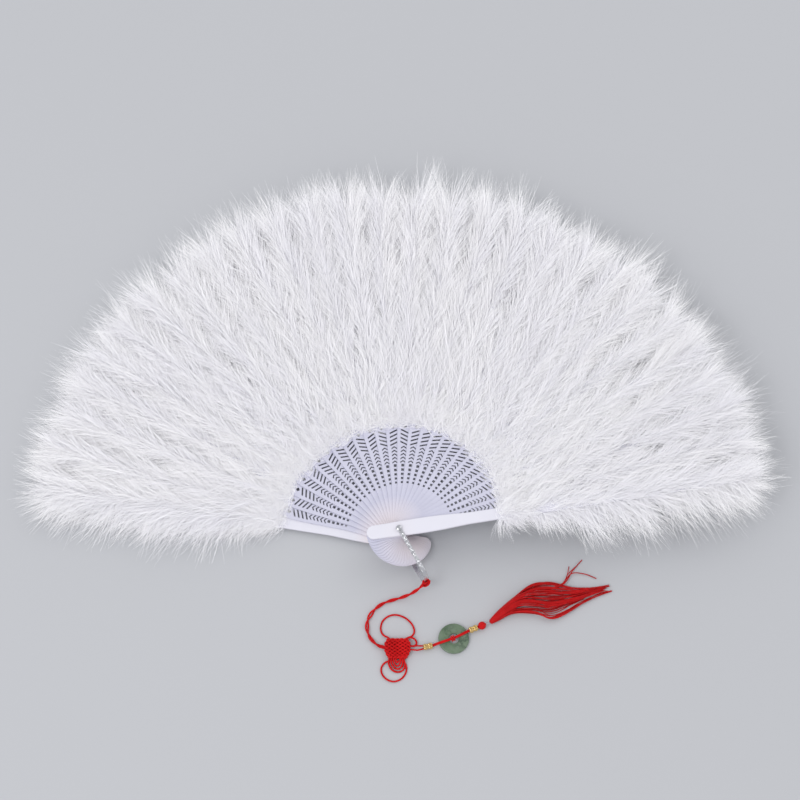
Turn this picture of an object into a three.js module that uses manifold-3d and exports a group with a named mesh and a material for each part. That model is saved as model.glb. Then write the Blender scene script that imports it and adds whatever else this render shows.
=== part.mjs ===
// A folding hand fan: pierced sticks between two guards, all turning on one rivet and
// dressed with down plumes, with a metal bail that carries a knotted cord, beads, a
// stone disc and a tassel.
//
// Units are millimetres. The open fan lies on a table at z = 0. The origin is on the
// rivet's axis at the table, +X to the right, +Y away from the handle and +Z up.
import * as THREE from "three";
import { mergeVertices } from "three/addons/utils/BufferGeometryUtils.js";
import Module from "manifold-3d";

const wasm = await Module();
wasm.setup();

const { degToRad, lerp } = THREE.MathUtils;

// The fan's spread: the back guard lies at firstAngle, each further stick one step on
const stickCount = 26;
const firstAngle = degToRad(171);
const foldStep = degToRad(6);

// Thicknesses of the stack, from the table up
const layerGap = 0.2;
const stickThickness = 0.66;
const backGuardThickness = 2.0;
const frontGuardThickness = 2.2;

// The rivet that holds the stack
const rivetRadius = 1.0;
const rivetHeadRadius = 2.2;
const rivetHeadHeight = 0.9;
const rivetCapRadius = 1.9;
const rivetCapHeight = 1.1;
const rivetTailLength = 0.5;
const pivotPlay = 0.12;
const pivotSides = 10;
const rivetSides = 14;

// A stick's outline, as radii from the rivet and half widths there
const stickReach = 206;
const stickHeadReach = 21.5;
const stickHeadHalf = 4.2;
const stickPivotHalf = 4.4;
const waistRadius = 35;
const waistHalf = 2.8;
const gorgeLength = 32;
const gorgeHalf = 4.7;
const shoulderLength = 9;
const neckLength = 4.5;
const bladeHalf = 3.2;
const bladeTipHalf = 2.8;

// The piercings along a stick, placed as shares of its pierced length
const squareShares = [0.02, 0.09, 0.17, 0.25];
const squareFirstSide = 1.5;
const squareLastSide = 2.0;
const chevronShares = [0.325, 0.39, 0.455, 0.52];
const chevronHalf = 1.5;
const chevronRise = 1.4;
const chevronBand = 0.8;
const strokeShares = [0.61, 0.705];
const strokeHalf = 2.0;
const strokeRise = 1.5;
const strokeBand = 0.9;
const rhombShare = 0.81;
const rhombHalfLength = 1.5;
const rhombHalfWidth = 1.2;
const cutOverrun = 1;
const mergeTolerance = 1e-4;

// The guards are plain, wider at the hand and chamfered all round
const guardHeadReach = 21.3;
const guardHeadHalf = 4.7;
const guardPivotHalf = 5.0;
const guardSwellRadius = 21;
const guardSwellHalf = 5.2;
const guardEaseRadius = 34;
const guardEaseHalf = 4.7;
const guardSlimRadius = 46;
const guardSlimHalf = 3.95;
const guardTipHalf = 3.4;
const guardChamfer = 0.5;

// The plumes, one for each pair of sticks
const softGap = 0.35;
const bladeClearance = 0.3;
const plumeSideReach = 249;
const plumeTopReach = 259;
const plumeLoft = 12;
const plumeDrop = 6;
const plumeFringe = degToRad(10);
const lobeDepth = 9;
const plumeSteps = 8;
const plumeRadialShares = [0, 0.18, 0.8, 1];
const plumeCrownShares = [0.4, 1, 0.9, 0.25];
const plumeRimLiftShare = 0.3;
const plumeSideSagShare = 0.4;

// The bail, a flat strip bent to a U round the stack
const bailAngle = degToRad(-61);
const bailReach = 36;
const bailWidth = 2.6;
const bailThickness = 0.7;
const bailCorner = 4;
const bailEyeRadius = 2.0;
const bailRise = 4.6;
const bailBackFlat = 8;

// The cord, its knot and what is threaded on it
const strandDiameter = 1.3;
const leadDiameter = 2.4;
const tailDiameter = 1.6;
const cordSides = 8;
const cordGap = 0.35;
const cordStepDiameters = 2.5;
const wrapHeight = 13;
const wrapSides = 6;
const wrapSteps = 14;
const knotMiddle = [-0.95, -73.6];
const knotWidth = 17.5;
const knotHeight = 14;
const knotThickness = 5;
const knotChamfer = 1.3;
const beadRadius = 2.1;
const beadLength = 6;
const beadWaistShare = 0.8;
const beadSides = 12;
const redBeadRadius = 2.6;
const discRadius = 10.1;
const discHoleRadius = 3.3;
const discThickness = 2.4;
const discChamfer = 0.4;
const discSides = 24;
const pinRadius = 0.4;
const pinLength = 2.5;

// The tassel: a bound head that climbs away from the pin, and a skirt that lies flat
const tasselHeading = degToRad(37);
const tasselHeadLength = 27.5;
const tasselHeadRise = 1.5;
const tasselHeadRadius = 3.9;
const tasselSides = 12;
const skirtGap = 0.55;
const skirtLength = 55.3;
const skirtHalf = 14;
const skirtHeight = 7.6;

// Routes, chosen by hand along the middle of each cord
const leadRoute = [
  [15.0, -34.0, 12.6],
  [12.3, -35.7, 10.2],
  [8.2, -37.3, 6.2],
  [3.2, -38.6, 2.9],
  [-2.0, -39.9, 1.4],
  [-7.4, -41.5, 1.2],
  [-12.6, -44.1, 1.2],
  [-17.1, -48.4, 1.2],
  [-20.0, -53.5, 1.2],
  [-20.8, -59.2, 1.2],
  [-19.4, -64.7, 1.2],
  [-16.2, -69.0, 1.3],
  [-12.8, -71.5, 1.6],
  [-10.2, -72.4, 1.9],
];
const upperLoopRoute = [
  [-7.2, -65.9, 1.6],
  [-10.6, -63.6, 1.0],
  [-11.9, -59.4, 0.7],
  [-10.6, -54.6, 0.7],
  [-6.7, -51.2, 0.7],
  [-1.6, -50.4, 0.7],
  [4.0, -52.4, 0.7],
  [8.4, -56.6, 0.7],
  [10.0, -61.2, 0.8],
  [8.7, -64.5, 1.2],
  [6.0, -65.9, 1.6],
];
const lowerLoopRoute = [
  [-5.4, -81.3, 1.6],
  [-9.2, -82.7, 1.0],
  [-11.4, -85.9, 0.7],
  [-11.0, -90.0, 0.7],
  [-8.0, -93.6, 0.7],
  [-3.4, -95.1, 0.7],
  [1.2, -93.5, 0.7],
  [4.2, -89.8, 0.7],
  [4.9, -85.8, 0.7],
  [3.9, -82.9, 1.0],
  [1.6, -81.3, 1.6],
];
const tailRoute = [
  [8.2, -72.9, 2.0],
  [12.0, -73.0, 2.1],
  [15.6, -72.6, 2.1],
  [18.8, -72.0, 2.1],
  [22.0, -71.3, 2.2],
  [25.0, -70.4, 3.2],
  [28.5, -69.2, 3.55],
  [32.0, -68.0, 3.5],
  [35.6, -66.6, 3.1],
  [39.2, -65.0, 3.5],
  [42.6, -63.3, 3.55],
  [45.8, -61.6, 3.3],
  [48.4, -60.4, 2.9],
  [51.1, -59.2, 2.65],
  [54.0, -58.1, 2.6],
  [56.4, -57.2, 2.6],
];

// What is threaded on the tail cord, as shares of its length
const firstBeadShare = 0.2075;
const discShare = 0.555;
const secondBeadShare = 0.8315;
const redBeadShare = 0.951;

// The knot's outline about its middle, as shares of its width and height
const knotOutlineShares = [
  [-0.38, 0.5],
  [0.4, 0.5],
  [0.5, 0.26],
  [0.5, -0.09],
  [0.32, -0.4],
  [0.18, -0.5],
  [-0.28, -0.5],
  [-0.4, -0.39],
  [-0.5, -0.09],
  [-0.5, 0.26],
];

// The tassel head's outline: shares of its length, and of its radius there
const tasselHeadShares = [
  [0, 0.28],
  [0.15, 0.59],
  [0.45, 0.85],
  [0.8, 0.97],
  [1, 1],
];

// The skirt's stations: shares of its length along X and Y, of its half width and of its
// height, and the heading there in degrees
const skirtShares = [
  { along: [0, 0], half: 0.264, height: 1, heading: 37 },
  { along: [0.14, -0.034], half: 0.786, height: 0.842, heading: 14 },
  { along: [0.277, -0.052], half: 1, height: 0.684, heading: 0 },
  { along: [0.43, -0.031], half: 0.814, height: 0.605, heading: 6 },
  { along: [0.611, 0.009], half: 0.486, height: 0.526, heading: 14 },
  { along: [0.819, 0.074], half: 0.229, height: 0.395, heading: 18 },
  { along: [1, 0.136], half: 0.071, height: 0.184, heading: 18 },
];

// Heights that follow from the stack
const guardNumber = stickCount + 1;
const layerPitch = stickThickness + layerGap;
const bailBackZ = rivetHeadHeight + layerGap;
const backGuardZ = bailBackZ + bailThickness + layerGap;
const firstStickZ = backGuardZ + backGuardThickness + layerGap;
const frontGuardZ = firstStickZ + stickCount * layerPitch;
const bailFrontZ = frontGuardZ + frontGuardThickness + layerGap;
const rivetCapZ = bailFrontZ + bailThickness + layerGap;

// Radii that follow from the stick's outline
const gorgeRadius = waistRadius + gorgeLength;
const shoulderRadius = gorgeRadius + shoulderLength;
const neckRadius = shoulderRadius + neckLength;
const piercedLength = shoulderRadius - waistRadius;
const plumeInnerRadius = neckRadius + bladeClearance;

// Places that follow from the tail cord's route
const tailPath = cordPath(tailRoute);
const pinEnds = onwards(tailPath.getPoint(1), tailPath.getTangent(1), cordGap, pinLength);
const tasselSlope = new THREE.Vector3(
  tasselHeadLength * Math.cos(tasselHeading),
  tasselHeadLength * Math.sin(tasselHeading),
  tasselHeadRise,
).normalize();
const tasselHeadEnds = onwards(pinEnds[1], tasselSlope, cordGap, tasselHeadLength);
const skirtStart = onwards(tasselHeadEnds[1], tasselSlope, skirtGap, 0)[0];

const palette = {
  stick: { color: 0xd3d3e6, roughness: 0.35, metalness: 0 },
  guard: { color: 0xeeeef6, roughness: 0.3, metalness: 0 },
  plume: { color: 0xf5f5f8, roughness: 0.95, metalness: 0 },
  silver: { color: 0xd8d8dc, roughness: 0.25, metalness: 1 },
  cord: { color: 0xd0101c, roughness: 0.6, metalness: 0 },
  gold: { color: 0xd9a441, roughness: 0.25, metalness: 1 },
  bead: { color: 0xc8141c, roughness: 0.3, metalness: 0 },
  jade: { color: 0x6f8a68, roughness: 0.3, metalness: 0 },
  tassel: { color: 0xc00c14, roughness: 0.6, metalness: 0 },
};

const fan = new THREE.Group();

function addPiece(name, geometry, finish) {
  const mesh = new THREE.Mesh(geometry, new THREE.MeshStandardMaterial(palette[finish]));
  mesh.name = name;
  fan.add(mesh);
  return mesh;
}

// Shared vertices and faces that point outwards
function closed(geometry) {
  geometry.deleteAttribute("normal");
  geometry.deleteAttribute("uv");
  const shared = mergeVertices(geometry, mergeTolerance);
  const at = shared.getAttribute("position");
  const index = shared.getIndex();
  const [a, b, c] = [new THREE.Vector3(), new THREE.Vector3(), new THREE.Vector3()];
  let volume = 0;
  for (let i = 0; i < index.count; i += 3) {
    a.fromBufferAttribute(at, index.getX(i));
    b.fromBufferAttribute(at, index.getX(i + 1));
    c.fromBufferAttribute(at, index.getX(i + 2));
    volume += a.dot(b.cross(c));
  }
  if (volume < 0) {
    shared.setIndex(Array.from(index.array).reverse());
  }
  shared.computeVertexNormals();
  return shared;
}

function toSolid(geometry) {
  const shared = closed(geometry);
  const vertProperties = new Float32Array(shared.getAttribute("position").array);
  const triVerts = new Uint32Array(shared.getIndex().array);
  return new wasm.Manifold(new wasm.Mesh({ numProp: 3, vertProperties, triVerts }));
}

function toGeometry(solid) {
  const { vertProperties, triVerts } = solid.getMesh();
  const geometry = new THREE.BufferGeometry();
  geometry.setAttribute("position", new THREE.BufferAttribute(vertProperties, 3));
  geometry.setIndex(new THREE.BufferAttribute(triVerts, 1));
  geometry.computeVertexNormals();
  return geometry;
}

function cut(body, tools) {
  return toGeometry(tools.reduce((left, tool) => left.subtract(toSolid(tool)), toSolid(body)));
}

function join(first, ...others) {
  return toGeometry(others.reduce((whole, other) => whole.add(toSolid(other)), toSolid(first)));
}

// Points of an arc about (x, y)
function arc(x, y, radius, from, to, steps) {
  const points = [];
  for (let i = 0; i <= steps; i++) {
    const angle = lerp(from, to, i / steps);
    points.push(new THREE.Vector2(x + radius * Math.cos(angle), y + radius * Math.sin(angle)));
  }
  return points;
}

// A polygon whose flats touch a circle of this radius
function ring(radius, sides) {
  return arc(0, 0, radius / Math.cos(Math.PI / sides), 0, 2 * Math.PI, sides).slice(1);
}

// A closed outline that is alike on both sides of the X axis, round at both ends
function bladeOutline(headReach, headHalf, sides, tipReach, tipHalf, arcSteps) {
  const under = sides.map(([x, half]) => new THREE.Vector2(x, -half));
  const over = sides.map(([x, half]) => new THREE.Vector2(x, half)).reverse();
  return [
    ...arc(headHalf - headReach, 0, headHalf, Math.PI / 2, 1.5 * Math.PI, arcSteps),
    ...under,
    ...arc(tipReach - tipHalf, 0, tipHalf, -Math.PI / 2, Math.PI / 2, arcSteps),
    ...over,
  ];
}

// The half widths between two places along a curve that bends towards a third
function easedSide(start, bend, end, steps) {
  const curve = new THREE.QuadraticBezierCurve(
    new THREE.Vector2(...start),
    new THREE.Vector2(...bend),
    new THREE.Vector2(...end),
  );
  return curve.getPoints(steps).map((point) => [point.x, point.y]);
}

// A prism that cuts right through a stick
function piercing(points) {
  const shape = new THREE.Shape(points.map(([x, y]) => new THREE.Vector2(x, y)));
  const depth = stickThickness + 2 * cutOverrun;
  const prism = new THREE.ExtrudeGeometry(shape, { depth, bevelEnabled: false });
  return prism.translate(0, 0, -cutOverrun);
}

function squareHole(r, half) {
  return piercing([[r - half, -half], [r + half, -half], [r + half, half], [r - half, half]]);
}

function chevronHole(r) {
  const outer = r + (chevronRise + chevronBand) / 2;
  const inner = outer - chevronBand;
  return piercing([
    [outer, 0],
    [outer - chevronRise, chevronHalf],
    [inner - chevronRise, chevronHalf],
    [inner, 0],
    [inner - chevronRise, -chevronHalf],
    [outer - chevronRise, -chevronHalf],
  ]);
}

function strokeHole(r, lean) {
  const half = strokeHalf * lean;
  return piercing([
    [r - strokeRise - strokeBand / 2, -half],
    [r - strokeRise + strokeBand / 2, -half],
    [r + strokeRise + strokeBand / 2, half],
    [r + strokeRise - strokeBand / 2, half],
  ]);
}

function rhombHole(r) {
  return piercing([
    [r - rhombHalfLength, 0],
    [r, -rhombHalfWidth],
    [r + rhombHalfLength, 0],
    [r, rhombHalfWidth],
  ]);
}

function pivotHole() {
  return new THREE.Path(ring(rivetRadius + pivotPlay, pivotSides));
}

// The angle and height of stick i, counting from the back guard
function stickAngle(i) {
  return firstAngle - i * foldStep;
}

function stickZ(i) {
  return i === 0 ? backGuardZ : firstStickZ + (i - 1) * layerPitch;
}

function layerThickness(i) {
  if (i === 0) {
    return backGuardThickness;
  }
  return i === guardNumber ? frontGuardThickness : stickThickness;
}

function piercedStick(i) {
  const waist = easedSide(
    [0, stickPivotHalf],
    [waistRadius / 2, waistHalf],
    [waistRadius, waistHalf],
    2,
  );
  const sides = [
    ...waist,
    [gorgeRadius, gorgeHalf],
    [shoulderRadius, gorgeHalf],
    [neckRadius, bladeHalf],
  ];
  const shape = new THREE.Shape(
    bladeOutline(stickHeadReach, stickHeadHalf, sides, stickReach, bladeTipHalf, 4),
  );
  shape.holes.push(pivotHole());
  const plate = new THREE.ExtrudeGeometry(shape, {
    depth: stickThickness,
    bevelEnabled: false,
  });
  const along = (share) => waistRadius + share * piercedLength;
  const lean = i % 2 ? 1 : -1;
  return cut(plate, [
    ...squareShares.map((share, n) => {
      const side = lerp(squareFirstSide, squareLastSide, n / (squareShares.length - 1));
      return squareHole(along(share), side / 2);
    }),
    ...chevronShares.map((share) => chevronHole(along(share))),
    ...strokeShares.map((share) => strokeHole(along(share), lean)),
    rhombHole(along(rhombShare)),
  ]);
}

function guard(thickness) {
  const sides = [
    [0, guardPivotHalf],
    [guardSwellRadius / 2, (guardPivotHalf + guardSwellHalf) / 2],
    [guardSwellRadius, guardSwellHalf],
    [guardEaseRadius, guardEaseHalf],
    [guardSlimRadius, guardSlimHalf],
  ];
  const shape = new THREE.Shape(
    bladeOutline(guardHeadReach, guardHeadHalf, sides, stickReach, guardTipHalf, 8),
  );
  shape.holes.push(pivotHole());
  const geometry = new THREE.ExtrudeGeometry(shape, {
    depth: thickness - 2 * guardChamfer,
    bevelThickness: guardChamfer,
    bevelSize: guardChamfer,
    bevelOffset: -guardChamfer,
    bevelSegments: 1,
  });
  geometry.translate(0, 0, guardChamfer);
  return closed(geometry);
}

function layStick(name, geometry, i, finish) {
  const mesh = addPiece(name, geometry, finish);
  mesh.rotation.z = stickAngle(i);
  mesh.position.z = stickZ(i);
}

// The room that stick i needs inside a plume
function bladeRoom(i) {
  const isGuard = i === 0 || i === guardNumber;
  const from = neckRadius - neckLength;
  const to = stickReach + bladeClearance;
  const start = (isGuard ? guardSlimHalf : bladeHalf) + bladeClearance;
  const end = (isGuard ? guardTipHalf : bladeTipHalf) + bladeClearance;
  const shape = new THREE.Shape([
    new THREE.Vector2(from, -start),
    new THREE.Vector2(plumeInnerRadius, -start),
    new THREE.Vector2(to, -end),
    new THREE.Vector2(to, end),
    new THREE.Vector2(plumeInnerRadius, start),
    new THREE.Vector2(from, start),
  ]);
  const depth = layerThickness(i) + 2 * bladeClearance;
  const room = new THREE.ExtrudeGeometry(shape, { depth, bevelEnabled: false });
  room.rotateZ(stickAngle(i));
  room.translate(0, 0, stickZ(i) - bladeClearance);
  return room;
}

// A crowned lobe of down from the table to above the sticks, with a scalloped rim
function plume(firstStick) {
  const atStart = firstStick === 0;
  const atEnd = firstStick + 1 === guardNumber;
  const from = stickAngle(firstStick) + (atStart ? plumeFringe : foldStep / 2);
  const to = stickAngle(firstStick + 1) - (atEnd ? plumeFringe : foldStep / 2);
  const rows = plumeRadialShares.length;
  const top = [];
  const bottom = [];
  for (let u = 0; u <= plumeSteps; u++) {
    const angle = lerp(from, to, u / plumeSteps);
    const place = THREE.MathUtils.clamp((firstAngle - angle) / foldStep, 0, guardNumber);
    const deck = backGuardZ + backGuardThickness + place * layerPitch;
    const reach = lerp(plumeSideReach, plumeTopReach, Math.sin(angle) ** 2);
    const scallop = (1 - Math.cos((2 * Math.PI * (firstAngle - angle)) / foldStep)) / 2;
    const rim = reach - lobeDepth * scallop;
    const across = 1 - plumeSideSagShare * ((2 * u) / plumeSteps - 1) ** 2;
    const edge = u === 0 ? -softGap / 2 : u === plumeSteps ? softGap / 2 : 0;
    plumeRadialShares.forEach((share, v) => {
      const r = lerp(plumeInnerRadius, rim, share);
      const x = r * Math.cos(angle) - edge * Math.sin(angle);
      const y = r * Math.sin(angle) + edge * Math.cos(angle);
      const height = deck + plumeLoft * plumeCrownShares[v] * across;
      const inner = Math.max(0, deck - plumeDrop);
      const floor = v === 0 ? inner : v === rows - 1 ? plumeRimLiftShare * height : 0;
      top.push(x, y, height);
      bottom.push(x, y, floor);
    });
  }
  const index = [];
  const under = top.length / 3;
  const quad = (a, b, c, d) => index.push(a, b, c, a, c, d);
  for (let u = 0; u < plumeSteps; u++) {
    for (let v = 0; v < rows - 1; v++) {
      const a = u * rows + v;
      quad(a, a + 1, a + rows + 1, a + rows);
      quad(under + a, under + a + rows, under + a + rows + 1, under + a + 1);
    }
    const [inner, outer] = [u * rows, u * rows + rows - 1];
    quad(inner, inner + rows, under + inner + rows, under + inner);
    quad(outer, under + outer, under + outer + rows, outer + rows);
  }
  for (let v = 0; v < rows - 1; v++) {
    const last = plumeSteps * rows + v;
    quad(v, under + v, under + v + 1, v + 1);
    quad(last, last + 1, under + last + 1, under + last);
  }
  const body = new THREE.BufferGeometry();
  body.setAttribute("position", new THREE.Float32BufferAttribute([...top, ...bottom], 3));
  body.setIndex(index);
  return cut(body, [bladeRoom(firstStick), bladeRoom(firstStick + 1)]);
}

// A turned piece from its outline [radius, height] about the Z axis
function turned(outline, sides) {
  const points = outline.map(([r, z]) => new THREE.Vector2(r, z));
  const geometry = new THREE.LatheGeometry(points, sides);
  geometry.rotateX(Math.PI / 2);
  return closed(geometry);
}

// The two ends of a piece of this length that starts a gap beyond a point
function onwards(point, heading, gap, length) {
  return [
    point.clone().addScaledVector(heading, gap),
    point.clone().addScaledVector(heading, gap + length),
  ];
}

// Turns a piece that stands on the XY plane so that it runs from one point to another
function layAlong(geometry, [start, end]) {
  const heading = end.clone().sub(start).normalize();
  const turn = new THREE.Quaternion().setFromUnitVectors(new THREE.Vector3(0, 0, 1), heading);
  return geometry.applyQuaternion(turn).translate(start.x, start.y, start.z);
}

// The two ends of a piece of this length that is threaded on the tail cord
function threaded(share, length) {
  return onwards(tailPath.getPointAt(share), tailPath.getTangentAt(share), -length / 2, length);
}

function rivetPin() {
  const top = rivetCapZ + rivetTailLength;
  return turned(
    [
      [0, 0],
      [rivetHeadRadius, 0],
      [rivetHeadRadius, rivetHeadHeight],
      [rivetRadius, rivetHeadHeight],
      [rivetRadius, top],
      [0, top],
    ],
    rivetSides,
  );
}

function rivetCap() {
  const bore = rivetRadius + pivotPlay;
  const boreTop = rivetTailLength + layerGap;
  const shoulder = rivetCapHeight / 3;
  return turned(
    [
      [0, boreTop],
      [bore, boreTop],
      [bore, 0],
      [rivetCapRadius, 0],
      [rivetCapRadius, shoulder],
      [rivetCapRadius * Math.cos(Math.PI / 4), rivetCapHeight - shoulder / 2],
      [0, rivetCapHeight],
    ],
    rivetSides,
  );
}

// The outline of a strip of this thickness that follows a line of points
function stripOutline(points, thickness) {
  const side = (sign) =>
    points.map((point, i) => {
      const before = points[Math.max(i - 1, 0)];
      const after = points[Math.min(i + 1, points.length - 1)];
      const into = point.clone().sub(i ? before : point.clone().multiplyScalar(2).sub(after));
      const out = (i < points.length - 1 ? after.clone().sub(point) : into).clone();
      const [a, b] = [into.normalize(), out.normalize()];
      const normal = new THREE.Vector2(-a.y - b.y, a.x + b.x).normalize();
      const mitre = normal.dot(new THREE.Vector2(-a.y, a.x));
      return point.clone().addScaledVector(normal, (sign * thickness) / (2 * mitre));
    });
  return [...side(1), ...side(-1).reverse()];
}

function bailEye(z) {
  const shape = new THREE.Shape(arc(0, 0, bailEyeRadius, 0, 2 * Math.PI, pivotSides).slice(1));
  shape.holes.push(pivotHole());
  const eye = new THREE.ExtrudeGeometry(shape, { depth: bailThickness, bevelEnabled: false });
  return eye.translate(0, 0, z);
}

// The strip is drawn in its own upright plane, then turned to the bail's heading
function bail() {
  const start = (rivetRadius + pivotPlay + bailEyeRadius) / 2;
  const front = bailFrontZ + bailThickness / 2;
  const back = bailBackZ + bailThickness / 2;
  const bend = bailReach - bailCorner;
  const line = [
    new THREE.Vector2(start, front),
    ...arc(bend, front - bailCorner, bailCorner, Math.PI / 2, 0, 5),
    ...arc(bend, back + bailRise + bailCorner, bailCorner, 0, -Math.PI / 2, 5),
    new THREE.Vector2(bailBackFlat, back),
    new THREE.Vector2(start, back),
  ];
  const shape = new THREE.Shape(stripOutline(line, bailThickness));
  const strip = new THREE.ExtrudeGeometry(shape, { depth: bailWidth, bevelEnabled: false });
  strip.translate(0, 0, -bailWidth / 2).rotateX(Math.PI / 2);
  return join(strip, bailEye(bailFrontZ), bailEye(bailBackZ));
}

// The loop of cord round the bail's far end
function cordWrap() {
  const corner = Math.hypot(bailWidth, bailThickness) / 2;
  const tube = strandDiameter / 2;
  const middle = (corner + cordGap) / Math.cos(Math.PI / wrapSteps) + tube;
  return closed(new THREE.TorusGeometry(middle, tube, wrapSides, wrapSteps));
}

function cordPath(route) {
  return new THREE.CatmullRomCurve3(route.map((point) => new THREE.Vector3(...point)));
}

function cordTube(route, diameter) {
  const path = cordPath(route);
  const shape = new THREE.Shape(arc(0, 0, diameter / 2, 0, 2 * Math.PI, cordSides).slice(1));
  const steps = Math.round(path.getLength() / (cordStepDiameters * diameter));
  return closed(new THREE.ExtrudeGeometry(shape, { steps, extrudePath: path }));
}

function knot() {
  const [x, y] = knotMiddle;
  const shape = new THREE.Shape(
    knotOutlineShares.map(
      ([across, up]) => new THREE.Vector2(x + across * knotWidth, y + up * knotHeight),
    ),
  );
  const geometry = new THREE.ExtrudeGeometry(shape, {
    depth: knotThickness - 2 * knotChamfer,
    bevelThickness: knotChamfer,
    bevelSize: knotChamfer,
    bevelOffset: -knotChamfer,
    bevelSegments: 2,
  });
  return closed(geometry.translate(0, 0, knotChamfer));
}

function goldBead(share) {
  const bore = tailDiameter / 2 + cordGap;
  const waist = beadRadius * beadWaistShare;
  const bead = turned(
    [
      [bore, 0],
      [waist, 0],
      [beadRadius, beadLength / 4],
      [waist, beadLength / 2],
      [beadRadius, (3 * beadLength) / 4],
      [waist, beadLength],
      [bore, beadLength],
      [bore, 0],
    ],
    beadSides,
  );
  return layAlong(bead, threaded(share, beadLength));
}

function redBead() {
  const bore = tailDiameter / 2 + cordGap;
  const mouth = Math.asin(bore / redBeadRadius);
  const quarter = Math.PI / 2 - mouth;
  const outside = arc(0, redBeadRadius, redBeadRadius, -quarter, quarter, 6);
  const outline = outside.map((point) => [point.x, point.y]);
  const bead = turned([...outline, outline[0]], beadSides);
  return layAlong(bead, threaded(redBeadShare, 2 * redBeadRadius));
}

function jadeDisc() {
  const disc = turned(
    [
      [discHoleRadius, 0],
      [discRadius - discChamfer, 0],
      [discRadius, discChamfer],
      [discRadius, discThickness - discChamfer],
      [discRadius - discChamfer, discThickness],
      [discHoleRadius, discThickness],
      [discHoleRadius, 0],
    ],
    discSides,
  );
  const { x, y } = tailPath.getPointAt(discShare);
  return disc.translate(x, y, 0);
}

function pin() {
  const outline = [[0, 0], [pinRadius, 0], [pinRadius, pinLength], [0, pinLength]];
  return layAlong(turned(outline, cordSides), pinEnds);
}

function tasselHead() {
  const side = tasselHeadShares.map(([along, radius]) => [
    radius * tasselHeadRadius,
    along * tasselHeadLength,
  ]);
  const outline = [[0, 0], ...side, [0, tasselHeadLength]];
  return layAlong(turned(outline, tasselSides), tasselHeadEnds);
}

// The tassel's threads as one tapered bundle that lies on the table
function tasselSkirt() {
  const position = [];
  const index = [];
  skirtShares.forEach(({ along, half, height, heading }) => {
    const turn = degToRad(heading);
    const x = skirtStart.x + along[0] * skirtLength;
    const y = skirtStart.y + along[1] * skirtLength;
    for (let side = 0; side < tasselSides; side++) {
      const angle = (2 * Math.PI * side) / tasselSides;
      const across = half * skirtHalf * Math.cos(angle);
      const z = (height * skirtHeight * (1 + Math.sin(angle))) / 2;
      position.push(x - across * Math.sin(turn), y + across * Math.cos(turn), z);
    }
  });
  const last = skirtShares.length - 1;
  for (let row = 0; row < last; row++) {
    for (let side = 0; side < tasselSides; side++) {
      const next = (side + 1) % tasselSides;
      const [a, b] = [row * tasselSides + side, row * tasselSides + next];
      index.push(a, b, b + tasselSides, a, b + tasselSides, a + tasselSides);
    }
  }
  for (let side = 1; side < tasselSides - 1; side++) {
    const end = last * tasselSides;
    index.push(0, side + 1, side, end, end + side, end + side + 1);
  }
  const geometry = new THREE.BufferGeometry();
  geometry.setAttribute("position", new THREE.Float32BufferAttribute(position, 3));
  geometry.setIndex(index);
  return closed(geometry);
}

const twoDigits = (n) => String(n).padStart(2, "0");

// The stack
addPiece("rivet_pin", rivetPin(), "silver");
addPiece("rivet_cap", rivetCap(), "silver").position.z = rivetCapZ;
layStick("back_guard", guard(backGuardThickness), 0, "guard");
for (let i = 1; i <= stickCount; i++) {
  layStick(`stick_${twoDigits(i)}`, piercedStick(i), i, "stick");
}
layStick("front_guard", guard(frontGuardThickness), guardNumber, "guard");

// The down
for (let i = 0; i < guardNumber; i += 2) {
  addPiece(`plume_${twoDigits(i / 2 + 1)}`, plume(i), "plume");
}

// The bail and the cord's loop on it
const bailMesh = addPiece("bail", bail(), "silver");
bailMesh.rotation.z = bailAngle;
const wrapMesh = addPiece("cord_wrap", cordWrap(), "cord");
wrapMesh.position.set(
  bailReach * Math.cos(bailAngle),
  bailReach * Math.sin(bailAngle),
  wrapHeight,
);

// The pendant
addPiece("lead_cord", cordTube(leadRoute, leadDiameter), "cord");
addPiece("knot", knot(), "cord");
addPiece("knot_loop_upper", cordTube(upperLoopRoute, strandDiameter), "cord");
addPiece("knot_loop_lower", cordTube(lowerLoopRoute, strandDiameter), "cord");
addPiece("tail_cord", cordTube(tailRoute, tailDiameter), "cord");
addPiece("gold_bead_1", goldBead(firstBeadShare), "gold");
addPiece("jade_disc", jadeDisc(), "jade");
addPiece("gold_bead_2", goldBead(secondBeadShare), "gold");
addPiece("red_bead", redBead(), "bead");
addPiece("tassel_pin", pin(), "silver");
addPiece("tassel_head", tasselHead(), "tassel");
addPiece("tassel_skirt", tasselSkirt(), "tassel");

export default fan;
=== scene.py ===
"""A folding fan of pierced sticks dressed with white down, with its bail, cord, beads,
stone disc and tassel, laid open on a pale floor."""

import math

import bmesh
import bpy
import numpy as np
from bpy.props import FloatProperty, FloatVectorProperty, IntProperty, PointerProperty
from mathutils import Matrix, Vector


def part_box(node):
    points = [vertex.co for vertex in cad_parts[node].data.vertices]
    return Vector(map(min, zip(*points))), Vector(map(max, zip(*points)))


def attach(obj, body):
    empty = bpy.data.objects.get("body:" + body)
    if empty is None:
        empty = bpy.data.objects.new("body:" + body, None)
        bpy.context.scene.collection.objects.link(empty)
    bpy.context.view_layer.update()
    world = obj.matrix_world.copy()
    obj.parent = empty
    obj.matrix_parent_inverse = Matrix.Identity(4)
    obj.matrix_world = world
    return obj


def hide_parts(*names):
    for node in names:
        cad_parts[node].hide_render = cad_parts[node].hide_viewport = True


bl_info = {
    "name": "Feather Fan",
    "version": (1, 0, 0),
    "blender": (4, 5, 0),
    "location": "View3D > Sidebar > Fan",
    "description": "Dresses a folding fan with down, cord, beads and a tassel",
    "category": "Object",
}

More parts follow.
